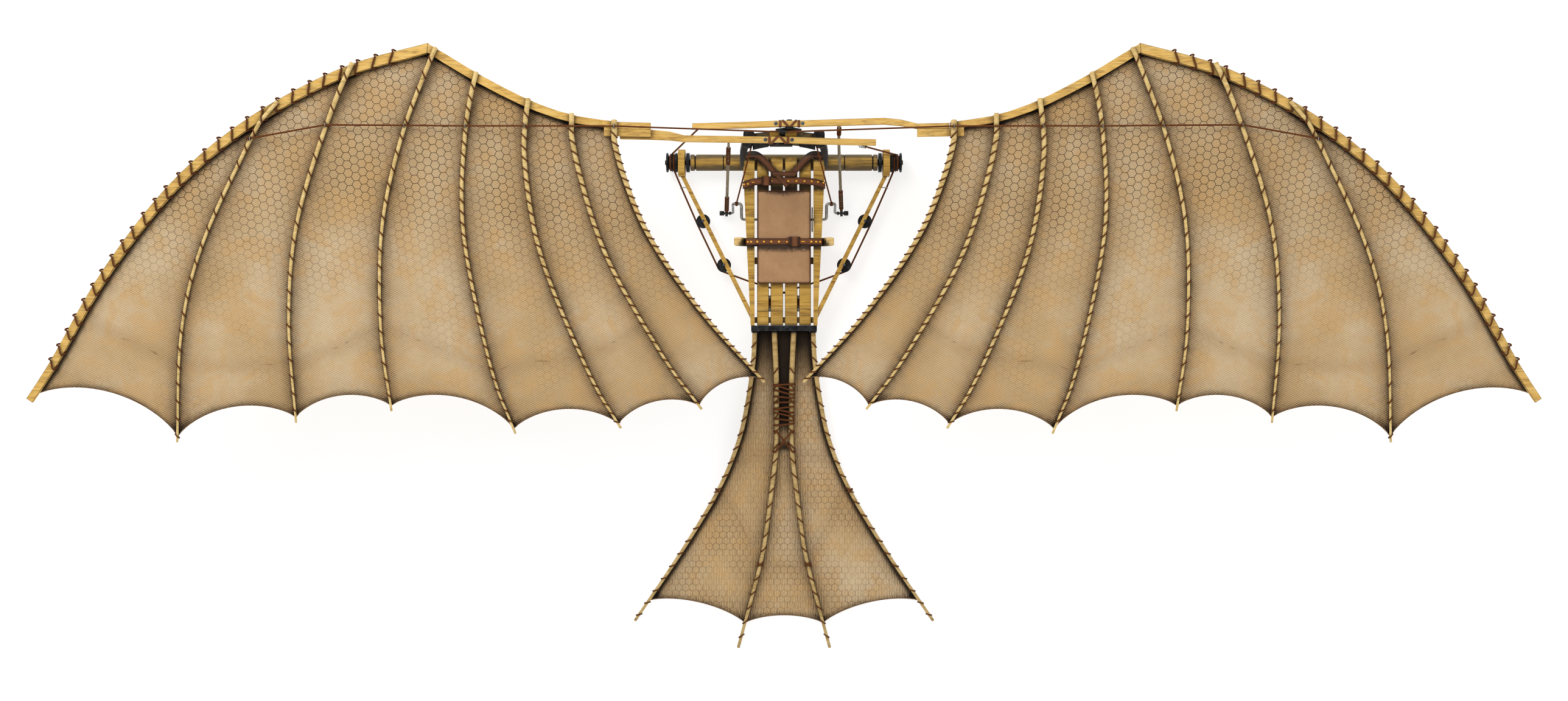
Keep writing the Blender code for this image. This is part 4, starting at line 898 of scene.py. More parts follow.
def tail_rib_line(plan, r_root, r_tip, end_z):
    """The middle line of a tail rib, and the radius at each of its points."""
    path = smooth_path([(x, y, 0) for x, y in plan[1:]], 13)
    points = [Vector((*plan[0], BRACKET_Z)), Vector((*plan[1], BRACKET_Z))]
    radii = [r_root, r_root]
    reach = path[0].y - path[-1].y
    for spot in path[1:]:
        t = (path[0].y - spot.y) / reach
        points.append(Vector((spot.x, spot.y, BRACKET_Z + (TAIL_END_Z - BRACKET_Z) * t)))
        radii.append(r_root + (r_tip - r_root) * t)
    points[-1].z = end_z
    return points, radii


TAIL_OUTER = tail_rib_line(((0.217, 0.240), (0.217, 0.195), (0.226, 0.001), (0.262, -0.274), (0.335, -0.605),
                            (0.490, -0.983), (0.786, -1.475), (1.115, -1.961)), 0.018, 0.0105, 0.016)
TAIL_INNER = tail_rib_line(((0.072, 0.240), (0.072, 0.195), (0.056, -0.170), (0.054, -0.465), (0.059, -0.692),
                            (0.127, -1.247), (0.177, -1.535), (0.342, -2.1637)), 0.0205, 0.0110, 0.0110)


def share_of(value):
    return min(1.0, max(0.0, value))


def tail_ribs():
    """Four ribs with their lashings, each with a thicker binding about halfway."""
    lashings = Form()
    for label, side in SIDES:
        for kind, line, first, bind in (("outer", TAIL_OUTER, 0.135, (0.490, -0.984, 0)),
                                        ("inner", TAIL_INNER, 0.33, (0.177, -1.536, 0))):
            axis = [(mirrored([p], side)[0], r) for p, r in fine_line(*line)]
            rib_pole("tail_rib_%s_%s" % (kind, label), axis, TAIL_WOOD, "frame")
            lash(lashings, axis, first, 0.112, side * TAIL_LASHING_TURN)
            bind = mirrored([bind], side)[0]
            spot, heading, radius = min(walk(axis, 0.0, 0.004), key=lambda row: (row[0] - bind).xy.length)
            lashings.ring(spot, heading + ACROSS * (side * 0.25), radius + 0.0075, 0.0068)
            end = Vector((side * 0.03, -0.012, 0.004))
            lashings.tube([spot + UP * (radius + 0.004), spot + end * 0.6 + UP * radius, spot + end], 0.004, 6)
    lashings.piece("tail_rib_lashings", CORD, "frame")


def tail_cloth():
    """The tail's sheet, below its ribs. Its front edge is tucked forward between the bracket's sockets."""
    def under(points, radii):
        line = [p - UP * (r + TAIL_GAP) for p, r in zip(points, radii)]
        front = Vector((line[1].x, TAIL_FRONT, line[1].z))
        return [front, front.lerp(line[2], 0.5)] + line[2:-1]
    outer, inner = under(*TAIL_OUTER), under(*TAIL_INNER)
    edges = [mirrored(outer, -1), mirrored(inner, -1), inner, outer]
    rows, back, deep = [], [], []
    for i in range(PANEL_ALONG + 1):
        s = i / PANEL_ALONG
        rows.append([])
        for k in range(3):
            (a, a1), (b, b1) = ([line_at(line, share) for share in (s, 1)] for line in edges[k:k + 2])
            for j in range(PANEL_ACROSS + (k == 2)):
                t = j / PANEL_ACROSS
                spot = a.lerp(b, t) + s ** 3 * (scalloped(a1, b1, TAIL_SCALLOP, t) - a1.lerp(b1, t))
                sag = min(TAIL_SAG, abs(a.x - b.x) * 0.05) * 4 * t * (1 - t) * math.sin(math.pi * s) ** 0.5
                tuck = share_of((0.5 - abs(t - 0.5) - 0.15) / 0.05) if i == 0 else 0.0
                rows[-1].append((spot.x, spot.y + TAIL_TUCK * tuck, spot.z - sag))
                back.append(s)
                # deep says how far the cloth is painted black as shade: round the lacing's cross and forward of it in
                # the middle panel, towards the bracket in the side panels.
                if k == 1:
                    deep.append(max(1 - abs(spot.y + 0.655) / 0.06, share_of((spot.y + 0.60) / 0.14)))
                else:
                    deep.append(share_of((spot.y + 0.40) / 0.58))
    grid = np.array(rows)
    flat = grid.reshape(-1, 3)
    ribs = [mirrored(points, side) for points, _ in (TAIL_OUTER, TAIL_INNER) for side in (-1, 1)]
    folds = [[(side * x, y) for x, y in fold] for fold in TAIL_FOLDS for side in (-1, 1)]
    facts = {"rib": to_lines(flat, ribs), "front": np.full(len(flat), 1.0), "rear": to_lines(flat, [grid[-1]]),
             "along": np.array(back), "crease": to_lines(flat, folds), "deep": np.array(deep),
             "border": to_lines(flat, ribs[:2]) - 0.022}
    stretched("tail", grid, facts, TAIL_CLOTH, "frame", 1, ((grid[-1], 0.0038),))


# The frame's own pieces

# node, edge material, width of the edge, material and the least angle of an edge; %s is left and right
DRESS = (("wing_%s_lever", WOOD_EDGE, 0.0022, WING_WOOD, 40), ("wing_%s_arm_spar", WOOD_EDGE, 0.0022, WING_WOOD, 40),
         ("wing_%s_outer_spar", WOOD_EDGE, 0.0022, WING_WOOD, 40), ("rail_%s", BOARD_EDGE, 0.0032, BOARD_WOOD, 40),
         ("strut_%s", BOARD_EDGE, 0.0022, BLOCK_WOOD, 40), ("bearing_block_%s", BOARD_EDGE, 0.0022, BLOCK_WOOD, 40),
         ("cleat_%s", None, 0.0012, STEEL, 50), ("push_rod_%s", None, 0, ROD_WOOD, 40),
         ("yoke_pulley_%s", None, 0.0010, IRON, 50), ("roller_front_%s", None, 0.0012, IRON, 50),
         ("roller_rear_%s", None, 0.0012, IRON, 50), ("strap_bow", None, 0.0090, BOW_WOOD, 40),
         ("cross_beam", BOARD_EDGE, 0.0022, SHADED_BEAM_WOOD, 40), ("drum_barrel", None, 0.0022, DRUM_WOOD, 50),
         ("drum_axle", None, 0.0012, IRON, 50), ("crank_wheel", None, 0.0014, DRUM_WOOD, 50),
         ("pivot_bracket", IRON_EDGE, 0.0012, IRON, 50), ("tail_bracket", IRON_EDGE, 0.0014, IRON, 50))


def round_edges(node, edge_material, width, material, angle):
    """Gives a CAD node its material and slightly rounded edges."""
    piece = nodes[node]
    piece.data.materials.clear()
    for one in (material, edge_material):
        if one:
            piece.data.materials.append(one)
    piece.data.polygons.foreach_set("use_smooth", [True] * len(piece.data.polygons))
    piece.data.polygons.foreach_set("material_index", [0] * len(piece.data.polygons))
    piece.modifiers.new("weld", "WELD").merge_threshold = 0.00005
    if width:
        flat = piece.modifiers.new("planar", "DECIMATE")
        flat.decimate_type = "DISSOLVE"
        flat.angle_limit = math.radians(0.6)
        bevel = piece.modifiers.new("edges", "BEVEL")
        bevel.width = width
        bevel.segments = 2
        bevel.limit_method = "ANGLE"
        bevel.angle_limit = math.radians(angle)
        bevel.use_clamp_overlap = True
        bevel.loop_slide = False
        if edge_material:
            bevel.material = 1
    piece.modifiers.new("shading", "WEIGHTED_NORMAL").keep_sharp = False


for name, *look in DRESS:
    for side_label, _ in SIDES if "%s" in name else SIDES[:1]:
        round_edges(name.replace("%s", side_label), *look)
for side_label, side_sign in SIDES:
    wing_ribs(side_label, side_sign)
    spar_loops(side_label, side_sign)
wing_cloths()
tail_ribs()
tail_cloth()


# Board: belts, harness, cushion

RAIL_TOP = 0.201
BELT_THICK = 0.004
FRONT_BELT_Y, FRONT_BELT_BOW, REAR_BELT_Y = 1.276, 0.037, 0.862
FRONT_HALF, REAR_HALF = 0.3023, 0.2810
CUSHION_EDGE, RAIL_EDGE = 0.200, 0.270
ON_CUSHION, ON_RAIL = 0.2245, 0.2060
PHOTO_MIDDLE, PHOTO_SCALE, CAMERA_HEIGHT = 1288, 2862.2, 13.06


def from_photo(column, height):
    """The distance from the middle of what the photograph shows in a column of pixels, at a height."""
    return (column - PHOTO_MIDDLE) * (CAMERA_HEIGHT - height) / PHOTO_SCALE


def front_belt_at(x):
    """Centre of the front belt, which bows forward, at a distance from the middle."""
    return Vector((x, FRONT_BELT_Y + FRONT_BELT_BOW * (1 - (x / FRONT_HALF) ** 4), RAIL_TOP + 0.0023))


def rear_belt_at(x):
    """Centre of the rear belt, which lies over the cushion."""
    return Vector((x, REAR_BELT_Y, float(np.interp(abs(x), (CUSHION_EDGE, RAIL_EDGE), (ON_CUSHION, ON_RAIL)))))


def belt_path(centre, half, low):
    """A belt's path from one side of the board over the top to the other, and its outward directions."""
    corner = 0.007
    end = centre(half - corner)
    right = [(Vector((half, end.y, low + (end.z - corner - low) * k / 3)), ACROSS) for k in range(4)]
    for k in range(1, 5):
        out = Vector((math.cos(math.pi / 2 * k / 5), 0, math.sin(math.pi / 2 * k / 5)))
        right.append((Vector((half - corner, end.y, end.z - corner)) + out * corner, out))
    left = [(mirrored([p], -1)[0], mirrored([u], -1)[0]) for p, u in reversed(right)]
    rows = right + [(centre(x), UP) for x in np.linspace(half - corner, corner - half, 60)] + left
    return [p for p, _ in rows], [u for _, u in rows]


def slab(form, outline, thick, centre, heading=ACROSS):
    """A flat leather piece from its outline, with slightly rounded edges: outline holds (along, across) pairs."""
    across = UP.cross(heading)
    middle = Vector((sum(a for a, _ in outline), sum(b for _, b in outline), 0)) / len(outline)
    rings = []
    for inset, z in ((0.0012, 0.0), (0.0, 0.0012), (0.0, thick - 0.0014), (0.0016, thick)):
        rings.append([])
        for a, b in outline:
            pull = Vector((a - middle.x, b - middle.y, 0))
            spot = middle + pull * (1 - inset / max(pull.length, 0.004))
            rings[-1].append(centre + heading * spot.x + across * spot.y + UP * z)
    form.grid(rings, [[(a, b, 0.0) for a, b in outline]] * len(rings))


def keeper(form, centre, wide, half):
    """A leather sleeve round a belt."""
    path, up = [], []
    for angle in angles(24):
        c, s = math.cos(angle), math.sin(angle)
        path.append(centre + Vector((0, half * math.copysign(abs(c) ** 0.35, c),
                                     0.0012 + 0.0058 * math.copysign(abs(s) ** 0.35, s))))
        up.append(Vector((0, c * 0.006 / half if abs(s) > 0.25 else c, s)).normalized())
    a = wide / 2
    section = [(-a, -0.0015), (a, -0.0015), (a + 0.001, 0), (a, 0.0018), (a - 0.006, 0.0022), (-a + 0.006, 0.0022),
               (-a, 0.0018), (-a - 0.001, 0)]
    form.sweep(path, section, closed=True, up=up)


def slot_hole(form, centre, along, half):
    """The brass edge of the slot that a buckle's pin goes through."""
    form.tube([centre + along * at for at in (-half, 0.002 - half, half - 0.002, half)], 0.0036, 10,
              scale=[0.5, 1.0, 1.0, 0.5])


def belts():
    studs = Form()
    path, up = belt_path(front_belt_at, FRONT_HALF, 0.166)
    front = Form().strap(path, 0.051, BELT_THICK, up)
    middle = front_belt_at(-0.131)
    tongue = [(-0.119, 0.0), (-0.116, 0.016), (-0.106, 0.0220), (-0.060, 0.0235), (0.055, 0.0235), (0.055, -0.0235),
              (-0.060, -0.0235), (-0.106, -0.0220), (-0.116, -0.016)]
    lean = Vector((1, (front_belt_at(-0.09).y - front_belt_at(-0.22).y) / 0.13, 0)).normalized()
    slab(front, tongue, 0.003, middle + UP * 0.0022, lean)
    keeper(front, middle + UP * 0.001, 0.068, 0.0320)
    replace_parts(front.piece("front_belt", STRAP, "frame"), "belt_front")
    for column in (1268.3, 1294.8, 1308.4, 1321.6, 1333.6, 1343.8):
        x = from_photo(column, RAIL_TOP)
        studs.dome((x, 1.3115 - 0.0135 * (x / 0.2916) ** 4, RAIL_TOP + 0.0048), UP, 0.0080, 0.0030)
    for x, y in ((-0.2945, 1.286), (-0.2673, 1.290), (0.2916, 1.298)):
        studs.dome((x, y, RAIL_TOP + 0.0045), UP, 0.0075, 0.0030)
    for _, side in SIDES:
        studs.dome((side * (FRONT_HALF + 0.0022), FRONT_BELT_Y + 0.002, 0.186), (side, 0, 0), 0.0075, 0.0030)
    slot_hole(studs, front_belt_at(from_photo(1237.4, RAIL_TOP)) + UP * 0.0052, lean, 0.012)

    path, up = belt_path(rear_belt_at, REAR_HALF, 0.174)
    rear = Form().strap(path, 0.048, BELT_THICK, up)
    middle = rear_belt_at(0.0777)
    tip = [(-0.050, 0.0195), (0.070, 0.0195), (0.088, 0.015), (0.100, 0.007), (0.104, 0.0), (0.100, -0.007),
           (0.088, -0.015), (0.070, -0.0195), (-0.050, -0.0195)]
    slab(rear, tip, 0.0032, middle + UP * 0.0022)
    keeper(rear, middle + UP * 0.001, 0.078, 0.0335)
    end = [(-0.022, 0.0185), (0.0, 0.0185), (0.0, -0.012), (-0.022, -0.012)]
    slab(rear, end, 0.0032, Vector((0.0380, REAR_BELT_Y + 0.0095, 0.2262)))
    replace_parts(rear.piece("rear_belt", STRAP, "frame"), "belt_rear")
    for column in (1233.9, 1244.1, 1255, 1267.3, 1279.8, 1292.8, 1333, 1340.8):
        studs.dome(rear_belt_at(from_photo(column, ON_CUSHION)) + UP * 0.0025, UP, 0.0080, 0.0030)
    for _, side in SIDES:
        studs.dome(rear_belt_at(side * 0.2665) + UP * 0.0025, UP, 0.0075, 0.0028)
    slot_hole(studs, rear_belt_at(from_photo(1319.2, ON_CUSHION)) + UP * 0.0056, ACROSS, 0.014)
    studs.piece("belt_studs", BRASS, "frame")


HARNESS_PATH = ((0.288, 1.497, 0.2045), (0.262, 1.503, 0.2085), (0.232, 1.507, 0.2140), (0.200, 1.501, 0.2180),
                (0.160, 1.472, 0.2160), (0.120, 1.430, 0.2120), (0.085, 1.388, 0.2090), (0.022, 1.352, 0.2065))
HARNESS_END = ((-0.050, 1.352, 0.2122), (-0.030, 1.330, 0.2105), (-0.008, 1.306, 0.2090), (0.010, 1.288, 0.2092),
               (0.022, 1.272, 0.2075))


def harness():
    """Two shoulder straps that meet under a cross piece, and the strap end that hangs from it."""
    form = Form()
    a, t = 0.0260, 0.002
    section = [(-a + 0.001, -t), (a - 0.001, -t), (a, 0), (a - 0.0012, t), (a - 0.003, t * 1.4), (0, t * 1.1),
               (-a + 0.003, t * 1.4), (-a + 0.0012, t), (-a, 0)]
    for _, side in SIDES:
        line = smooth_path(mirrored(HARNESS_PATH, side), 48)
        scale = [1.0 - 0.30 * share_of((k / len(line) - 0.35) / 0.5) for k in range(len(line))]
        lean = [Vector((side * 0.10 * max(0, 1 - k / 20), 0.15 * max(0, 1 - abs(k - 16) / 16), 1)).normalized()
                for k in range(len(line))]
        form.sweep(line, section, up=lean, scale=scale)
    bar = [(-0.0885, 0.013), (-0.084, 0.0195), (0.084, 0.0195), (0.0885, 0.013), (0.084, -0.010), (0.074, -0.0195),
           (-0.074, -0.0195), (-0.084, -0.010)]
    slab(form, bar, 0.0036, Vector((0.0015, 1.3625, 0.2090)))
    form.strap(smooth_path(HARNESS_END, 20), 0.033, 0.0036)
    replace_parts(form.piece("shoulder_harness", HARNESS, "frame"), "harness")


def rounded_box(half_x, half_y, corner, inset, steps):
    """The outline of a box with round corners, drawn in by inset, with steps points on each corner."""
    radius, out = corner - inset, []
    for cx, cy, start in ((1, 1, 0), (-1, 1, 90), (-1, -1, 180), (1, -1, 270)):
        for k in range(steps):
            angle = math.radians(start + 90 * k / (steps - 1))
            out.append((cx * (half_x - corner) + radius * math.cos(angle),
                        cy * (half_y - corner) + radius * math.sin(angle)))
    return out


def apply(piece, modifier):
    bpy.context.view_layer.objects.active = piece
    bpy.ops.object.modifier_apply(modifier=modifier.name)


def cushion():
    """A flat padded board cushion, filled by a short cloth simulation, with a cord sewn round its upper edge."""
    low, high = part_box("cushion")
    middle = (low + high) / 2
    outline = rounded_box((high.x - low.x) / 2, (high.y - low.y) / 2, 0.027, 0.004, 7)
    centre = middle.to_2d().to_3d()
    rings = [[centre + Vector((x, y, z)) for x, y in outline] for z in (low.z + 0.001, high.z - 0.007)]
    pad = Form().grid(rings).piece("cushion_pad", CUSHION)
    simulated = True
    if simulated:
        remesh = pad.modifiers.new("remesh", "REMESH")
        remesh.mode = "VOXEL"
        remesh.voxel_size = 0.006
        apply(pad, remesh)
    points = np.array([v.co for v in pad.data.vertices])
    if simulated:
        cloth = pad.modifiers.new("cloth", "CLOTH")
        cloth.settings.use_pressure = True
        cloth.settings.uniform_pressure_force = 4.0
        cloth.settings.effector_weights.gravity = 0.0
        cloth.settings.quality = 6
        cloth.point_cache.frame_start, cloth.point_cache.frame_end = 1, 20
        for step in range(1, 21):
            scene.frame_set(step)
        shown = pad.evaluated_get(bpy.context.evaluated_depsgraph_get())
        move = np.array([v.co for v in shown.data.vertices]) - points
        pad.modifiers.remove(cloth)
        scene.frame_set(1)
        far = np.linalg.norm(move, axis=1, keepdims=True)
        points = points + move * np.minimum(1.0, 0.008 / np.maximum(far, 1e-9))
    for axis in (0, 1):  # the filled pad takes up the whole width and length of its box
        least, size = points[:, axis].min(), np.ptp(points[:, axis])
        points[:, axis] = low[axis] + 0.0004 + (points[:, axis] - least) * (high[axis] - low[axis] - 0.0008) / size
    belt = np.clip(1 - (np.abs(points[:, 1] - REAR_BELT_Y) - 0.026) / 0.030, 0, 1)
    ceiling = high.z - 0.0012 * belt * belt * (3 - 2 * belt)
    points[:, 2] = np.where(points[:, 2] > middle.z, np.minimum(points[:, 2], ceiling),
                            np.maximum(points[:, 2], low.z + 0.0005))
    pad.data.vertices.foreach_set("co", points.ravel())
    if simulated:
        finer = pad.modifiers.new("finer", "SUBSURF")
        finer.levels = finer.render_levels = 1
        apply(pad, finer)
    pad.data.polygons.foreach_set("use_smooth", [True] * len(pad.data.polygons))
    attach(pad, "frame")
    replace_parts(pad, "cushion")
    path = []
    for x, y in outline:
        grow = 1 + 0.0006 / math.hypot(x, y)
        dip = 0.0025 if abs(middle.y + y - REAR_BELT_Y) < 0.03 else 0.0
        path.append(Vector((middle.x + x * grow, middle.y + y * grow, high.z - 0.0062 - dip)))
    fine = []
    for a, b in zip(path, path[1:] + path[:1]):
        steps = max(1, int((b - a).length / 0.02))
        fine += [a.lerp(b, k / steps) for k in range(steps)]
    Form().tube(fine, 0.0026, 8, closed=True).piece("cushion_piping", CUSHION_SEAM, "frame")


# Levers, rods and ropes

LEVER_LOW, LEVER_TOP, LEVER_HALF = 0.758, 0.802, 0.021
# body, x and y of the crossed lashing, which way it is crossed, x of the two bolts
LEVERS = (("wing_left", -0.037, 1.5435, 1, (-0.1306, 0.057)), ("wing_right", 0.0386, 1.658, -1, (-0.0574, 0.1315)))


def around_lever(x_front, x_rear, y, grow):
    """A closed path round a lever: over its top from the rear edge to the front one, and back below."""
    half, low, top = LEVER_HALF + grow, LEVER_LOW - grow, LEVER_TOP + grow
    corner = 0.005
    spots = [(-half, low + corner, x_rear), (-half, top - corner, x_rear), (-half + corner, top, x_rear),
             (half - corner, top, x_front), (half, top - corner, x_front), (half, low + corner, x_front),
             (half - corner, low, x_front), (-half + corner, low, x_rear)]
    path, up = [], []
    for (a, z, x), (b, w, v) in zip(spots, spots[1:] + spots[:1]):
        for t in (0.0, 0.25, 0.5, 0.75):
            across, high = a + (b - a) * t, z + (w - z) * t
            path.append(Vector((x + (v - x) * t, y + across, high)))
            out = (across / half, (high - (low + top) / 2) / ((top - low) / 2))
            up.append(Vector((0, *(math.copysign(abs(value) ** 5, value) for value in out))).normalized())
    return path, up


def lever_rise(body, x):
    """How far a lever's outer arm has risen above the pivot's height."""
    out, rise = (-x, 0.077) if body == "wing_left" else (x, 0.093)
    return 0.004 * share_of((out + 0.030) / 0.130) + rise * max(0.0, out - 0.100)


def strap_section(width, thick):
    a, t = width / 2, thick / 2
    return [(-a + 0.0008, -t), (a - 0.0008, -t), (a, 0), (a - 0.001, t), (0, t * 1.25), (-a + 0.001, t), (-a, 0)]


def lever_lashings():
    for body, x, y, way, bolts in LEVERS:
        form = Form()
        for at in (-0.066, 0.066):
            path, up = around_lever(x + at, x + at, y, 0.0020)
            path = [spot + UP * lever_rise(body, x + at) for spot in path]
            form.sweep(path, strap_section(0.018, 0.0032), closed=True, up=up)
        for _, side in SIDES:
            wide, narrow = x + side * 0.046, x + side * 0.010
            path, up = around_lever(narrow if way > 0 else wide, wide if way > 0 else narrow, y, 0.0046)
            form.sweep(path, strap_section(0.016, 0.0030), closed=True, up=up)
        form.piece(body + "_lever_lashing", LASHING, body)
        bolt = Form()
        for at in bolts:
            bolt.turned((at, y, LEVER_TOP + lever_rise(body, at)), UP,
                        ((0.0128, -0.001), (0.0128, 0.0015), (0.0112, 0.0024), (0.0085, 0.0034), (0.003, 0.0040)), 18)
        bolt.piece(body + "_lever_bolts", BOLT, body)


CRANK_AXIS, CRANK_PIN = (1.031, 0.140), (1.085, 0.050)
ROD_R = 0.011
# the rods' middle lines, for the right side of x = 0, and the shares of their length that are wrapped
RODS = {"left": (((0.429, *CRANK_PIN), (0.391, 1.5395, 0.747)), ((0.05, 0.22), (0.71, 0.90))),
        "right": (((0.429, *CRANK_PIN), (0.3967, 1.585, 0.430), (0.391, 1.6540, 0.747)), ((0.05, 0.20), (0.80, 0.93)))}
WRAP_STEP, WRAP_CORD = 0.021, 0.0030
SWELL_TURN = 6.28  # the turn of cord that crosses outside swells about once a turn


def rod_wraps():
    """Crossed turns of cord round each push rod, at its foot and near its head."""
    for label, side in SIDES:
        form = Form()
        points, wrapped = RODS[label]
        line = [Vector(p) for p in along_line(mirrored(points, side), 400)]
        for first, last in wrapped:
            low, high = int(first * 400), int(last * 400)
            run = line[high] - line[low]
            heading = run.normalized()
            one = heading.cross(ACROSS).normalized()
            two = heading.cross(one)
            turns = run.length / WRAP_STEP
            steps = int(turns * 12)
            for start, swell in ((0.6, 0.0), (0.0, 0.12)):
                path = []
                for k in range(steps + 1):
                    t = k / steps
                    turned = FULL_TURN * turns * t
                    angle = start - turned if start else turned
                    reach = (ROD_R + 0.0032) * (1 + swell * math.cos(SWELL_TURN * turns * t))
                    spot = line[low + int(t * (high - low))] if label == "right" else line[low] + run * t
                    path.append(spot + one * (reach * math.cos(angle)) + two * (reach * math.sin(angle)))
                form.tube(path, WRAP_CORD, 6)
            for end in (low, high):
                for k in (-1, 0, 1):
                    form.ring(line[end] + heading * (0.0055 * k), heading, ROD_R + WRAP_CORD, WRAP_CORD, 16)
        form.piece("rod_%s_wraps" % label, CORD, "rod_" + label)


DRUM_Y, DRUM_Z, ROPE_GROOVE = 1.458, 0.095, 0.0590
CONTROL_X, STRUT_X = 0.8405, 0.8170
CONTROL_CORD = 0.0068


def drum_windings():
    form = Form()
    for _, side in SIDES:
        for first, last in ((CONTROL_X, 0.8430), (STRUT_X, STRUT_X)):
            path = []
            for k in range(21):
                angle = 0.3 - FULL_TURN * k / 20
                path.append((side * (first + (last - first) * k / 20), DRUM_Y + ROPE_GROOVE * math.cos(angle),
                             DRUM_Z + ROPE_GROOVE * math.sin(angle)))
            form.tube(path, 0.0066, 8)
    form.piece("drum_rope_turns", CORD, "drum")


ROLLERS = ((0.601, 1.022, 0.090), (0.445, 0.695, 0.1155))
ROLLER_GROOVE = 0.0490
CLEAT = (0.107, 0.410, 0.110)
CLEAT_GROOVE = 0.0214
STRUT_CAPS = ((0.601, 1.022, 0.1400), (0.445, 0.695, 0.1655))
EYE = (0.762, 1.269, 0.1000)
CRANK_EYE = (0.351, 1.150, 0.176)
YOKE_PULLEY, PULLEY_GROOVE = (0.243, 1.597, 0.631), 0.0300


def control_ropes():
    """The ropes from the drum's ends to the inner ends of the levers, and the rings that they hook into."""
    lift = Vector((0, ROPE_GROOVE * math.cos(math.radians(-10)), ROPE_GROOVE * math.sin(math.radians(-10))))
    left_end, right_end = Vector((-0.600, 1.632, 0.7500)), Vector((0.572, 1.502, 0.7480))
    for (label, side), end, wing in zip(SIDES, (left_end, right_end), ("wing_right", "wing_left")):
        foot = Vector((side * CONTROL_X, DRUM_Y, DRUM_Z)) + lift
        path = along_line([foot - UP * 0.004, foot, end], 60)
        rope("control_rope_" + label, path, CONTROL_CORD, "frame", wing)
    for name, wing, end, rings in (
            ("front", "wing_right", left_end, (((0.004, 0.003, 0.002), (0.5, 0.2, 0.6), 0.0120),
                                               ((0.006, 0.008, 0.006), (0, 1, 0.1), 0.0110))),
            ("rear", "wing_left", right_end, (((0.000, 0.000, 0.002), (0.3, 0.3, 1), 0.0125),
                                              ((-0.016, 0.002, 0.006), (0.1, -0.3, 1), 0.0125),
                                              ((-0.030, 0.004, 0.008), (-0.2, 0.4, 1), 0.0125)))):
        hooks = Form()
        for at, axis, radius in rings:
            hooks.ring(end + Vector(at), axis, radius, 0.0030)
        hooks.piece("hook_ring_%s_lever" % name, STEEL, wing)


def strut_ropes():
    """The ropes from the drum round the rollers to the cleats, with their guide eyes and the struts' pins."""
    guides, pins = Form(), Form()
    for label, side in SIDES:
        (fx, fy, fz), (rx, ry, rz) = ROLLERS
        points = [(STRUT_X, DRUM_Y - ROPE_GROOVE * 0.999, DRUM_Z + 0.010), (0.8165, DRUM_Y - ROPE_GROOVE, DRUM_Z),
                  EYE, (fx + ROLLER_GROOVE * 0.906, fy - ROLLER_GROOVE * 0.422, fz)]
        points += [(rx + ROLLER_GROOVE * math.cos(a), ry + ROLLER_GROOVE * math.sin(a), rz)
                   for a in (math.radians(degrees) for degrees in range(-25, -70, -6))]
        over = 0.007 * side
        points += [(0.267, 0.576, 0.1320), (0.106, 0.527, 0.1300), (0.0, 0.490, 0.1240 + over),
                   (-0.070, 0.462, 0.1220 + over), (-0.098, 0.446, 0.1290)]
        rope("strut_rope_" + label, along_line(mirrored(points, side), 220), CONTROL_CORD, "frame")
        path = []
        for k in range(4 * 14 + 1):
            angle = FULL_TURN * k / 14
            path.append((side * CLEAT[0] + CLEAT_GROOVE * math.cos(angle), 0.440 - 0.0130 * k / 14,
                         CLEAT[2] + CLEAT_GROOVE * math.sin(angle)))
        Form().tube(path, 0.0062, 6).piece("cleat_turns_" + label, CORD, "frame")
        run = (side * (0.6436 - EYE[0]), 1.002 - EYE[1], -0.01)
        eye = mirrored([EYE], side)[0]
        guides.ring(eye, run, 0.0115, 0.0026)
        guides.tube([eye + p for p in mirrored(((-0.012, 0.001, 0.001), (-0.040, 0.003, 0.006)), side)], 0.0028, 8)
        for spot in mirrored(STRUT_CAPS, side):
            pins.turned(spot, UP, ((0.0100, -0.001), (0.0100, 0.0016), (0.0085, 0.0030), (0.004, 0.0040)), 16)
        pins.turned((side * 0.318, 0.463, 0.1700), (-side * 0.9, -0.42, 0),
                    ((0.0042, 0.0), (0.0042, 0.022), (0.0060, 0.023), (0.0050, 0.028)), 10)
    guides.piece("rope_guide_eyes", STEEL, "frame")
    pins.piece("strut_pin_caps", BOLT, "frame")


def crank_ropes():
    """The ropes from the crank to the yoke's pulleys."""
    for label, side in SIDES:
        start, touch = mirrored((CRANK_EYE, (0.2135, 1.590, 0.631)), side)
        path = [Vector(p) for p in along_line([start, touch], 40)]
        for k in range(1, 11):
            angle = math.radians(180 - 15 * k) if side > 0 else math.radians(15 * k)
            path.append(Vector((side * YOKE_PULLEY[0] + PULLEY_GROOVE * math.cos(angle),
                                YOKE_PULLEY[1] + PULLEY_GROOVE * math.sin(angle), YOKE_PULLEY[2])))
        rope("crank_rope_" + label, path, 0.0058, "crank", "frame")
        knot = Form()
        for k in (-1, 0, 1):
            knot.ring((side * (CRANK_EYE[0] + 0.006 * k), 1.1455, 0.169), (1, 0.1 * k, 0), 0.0135, 0.0042, 14)
        knot.piece("crank_knot_" + label, CORD, "crank")


# where each strand of the tail's lacing crosses the left and the right inner rib
LACING = ((-0.195, -0.190), (-0.199, -0.236), (-0.236, -0.267), (-0.282, -0.292), (-0.326, -0.322), (-0.371, -0.357),
          (-0.376, -0.401), (-0.404, -0.429), (-0.448, -0.460), (-0.496, -0.484), (-0.542, -0.691), (-0.691, -0.542))


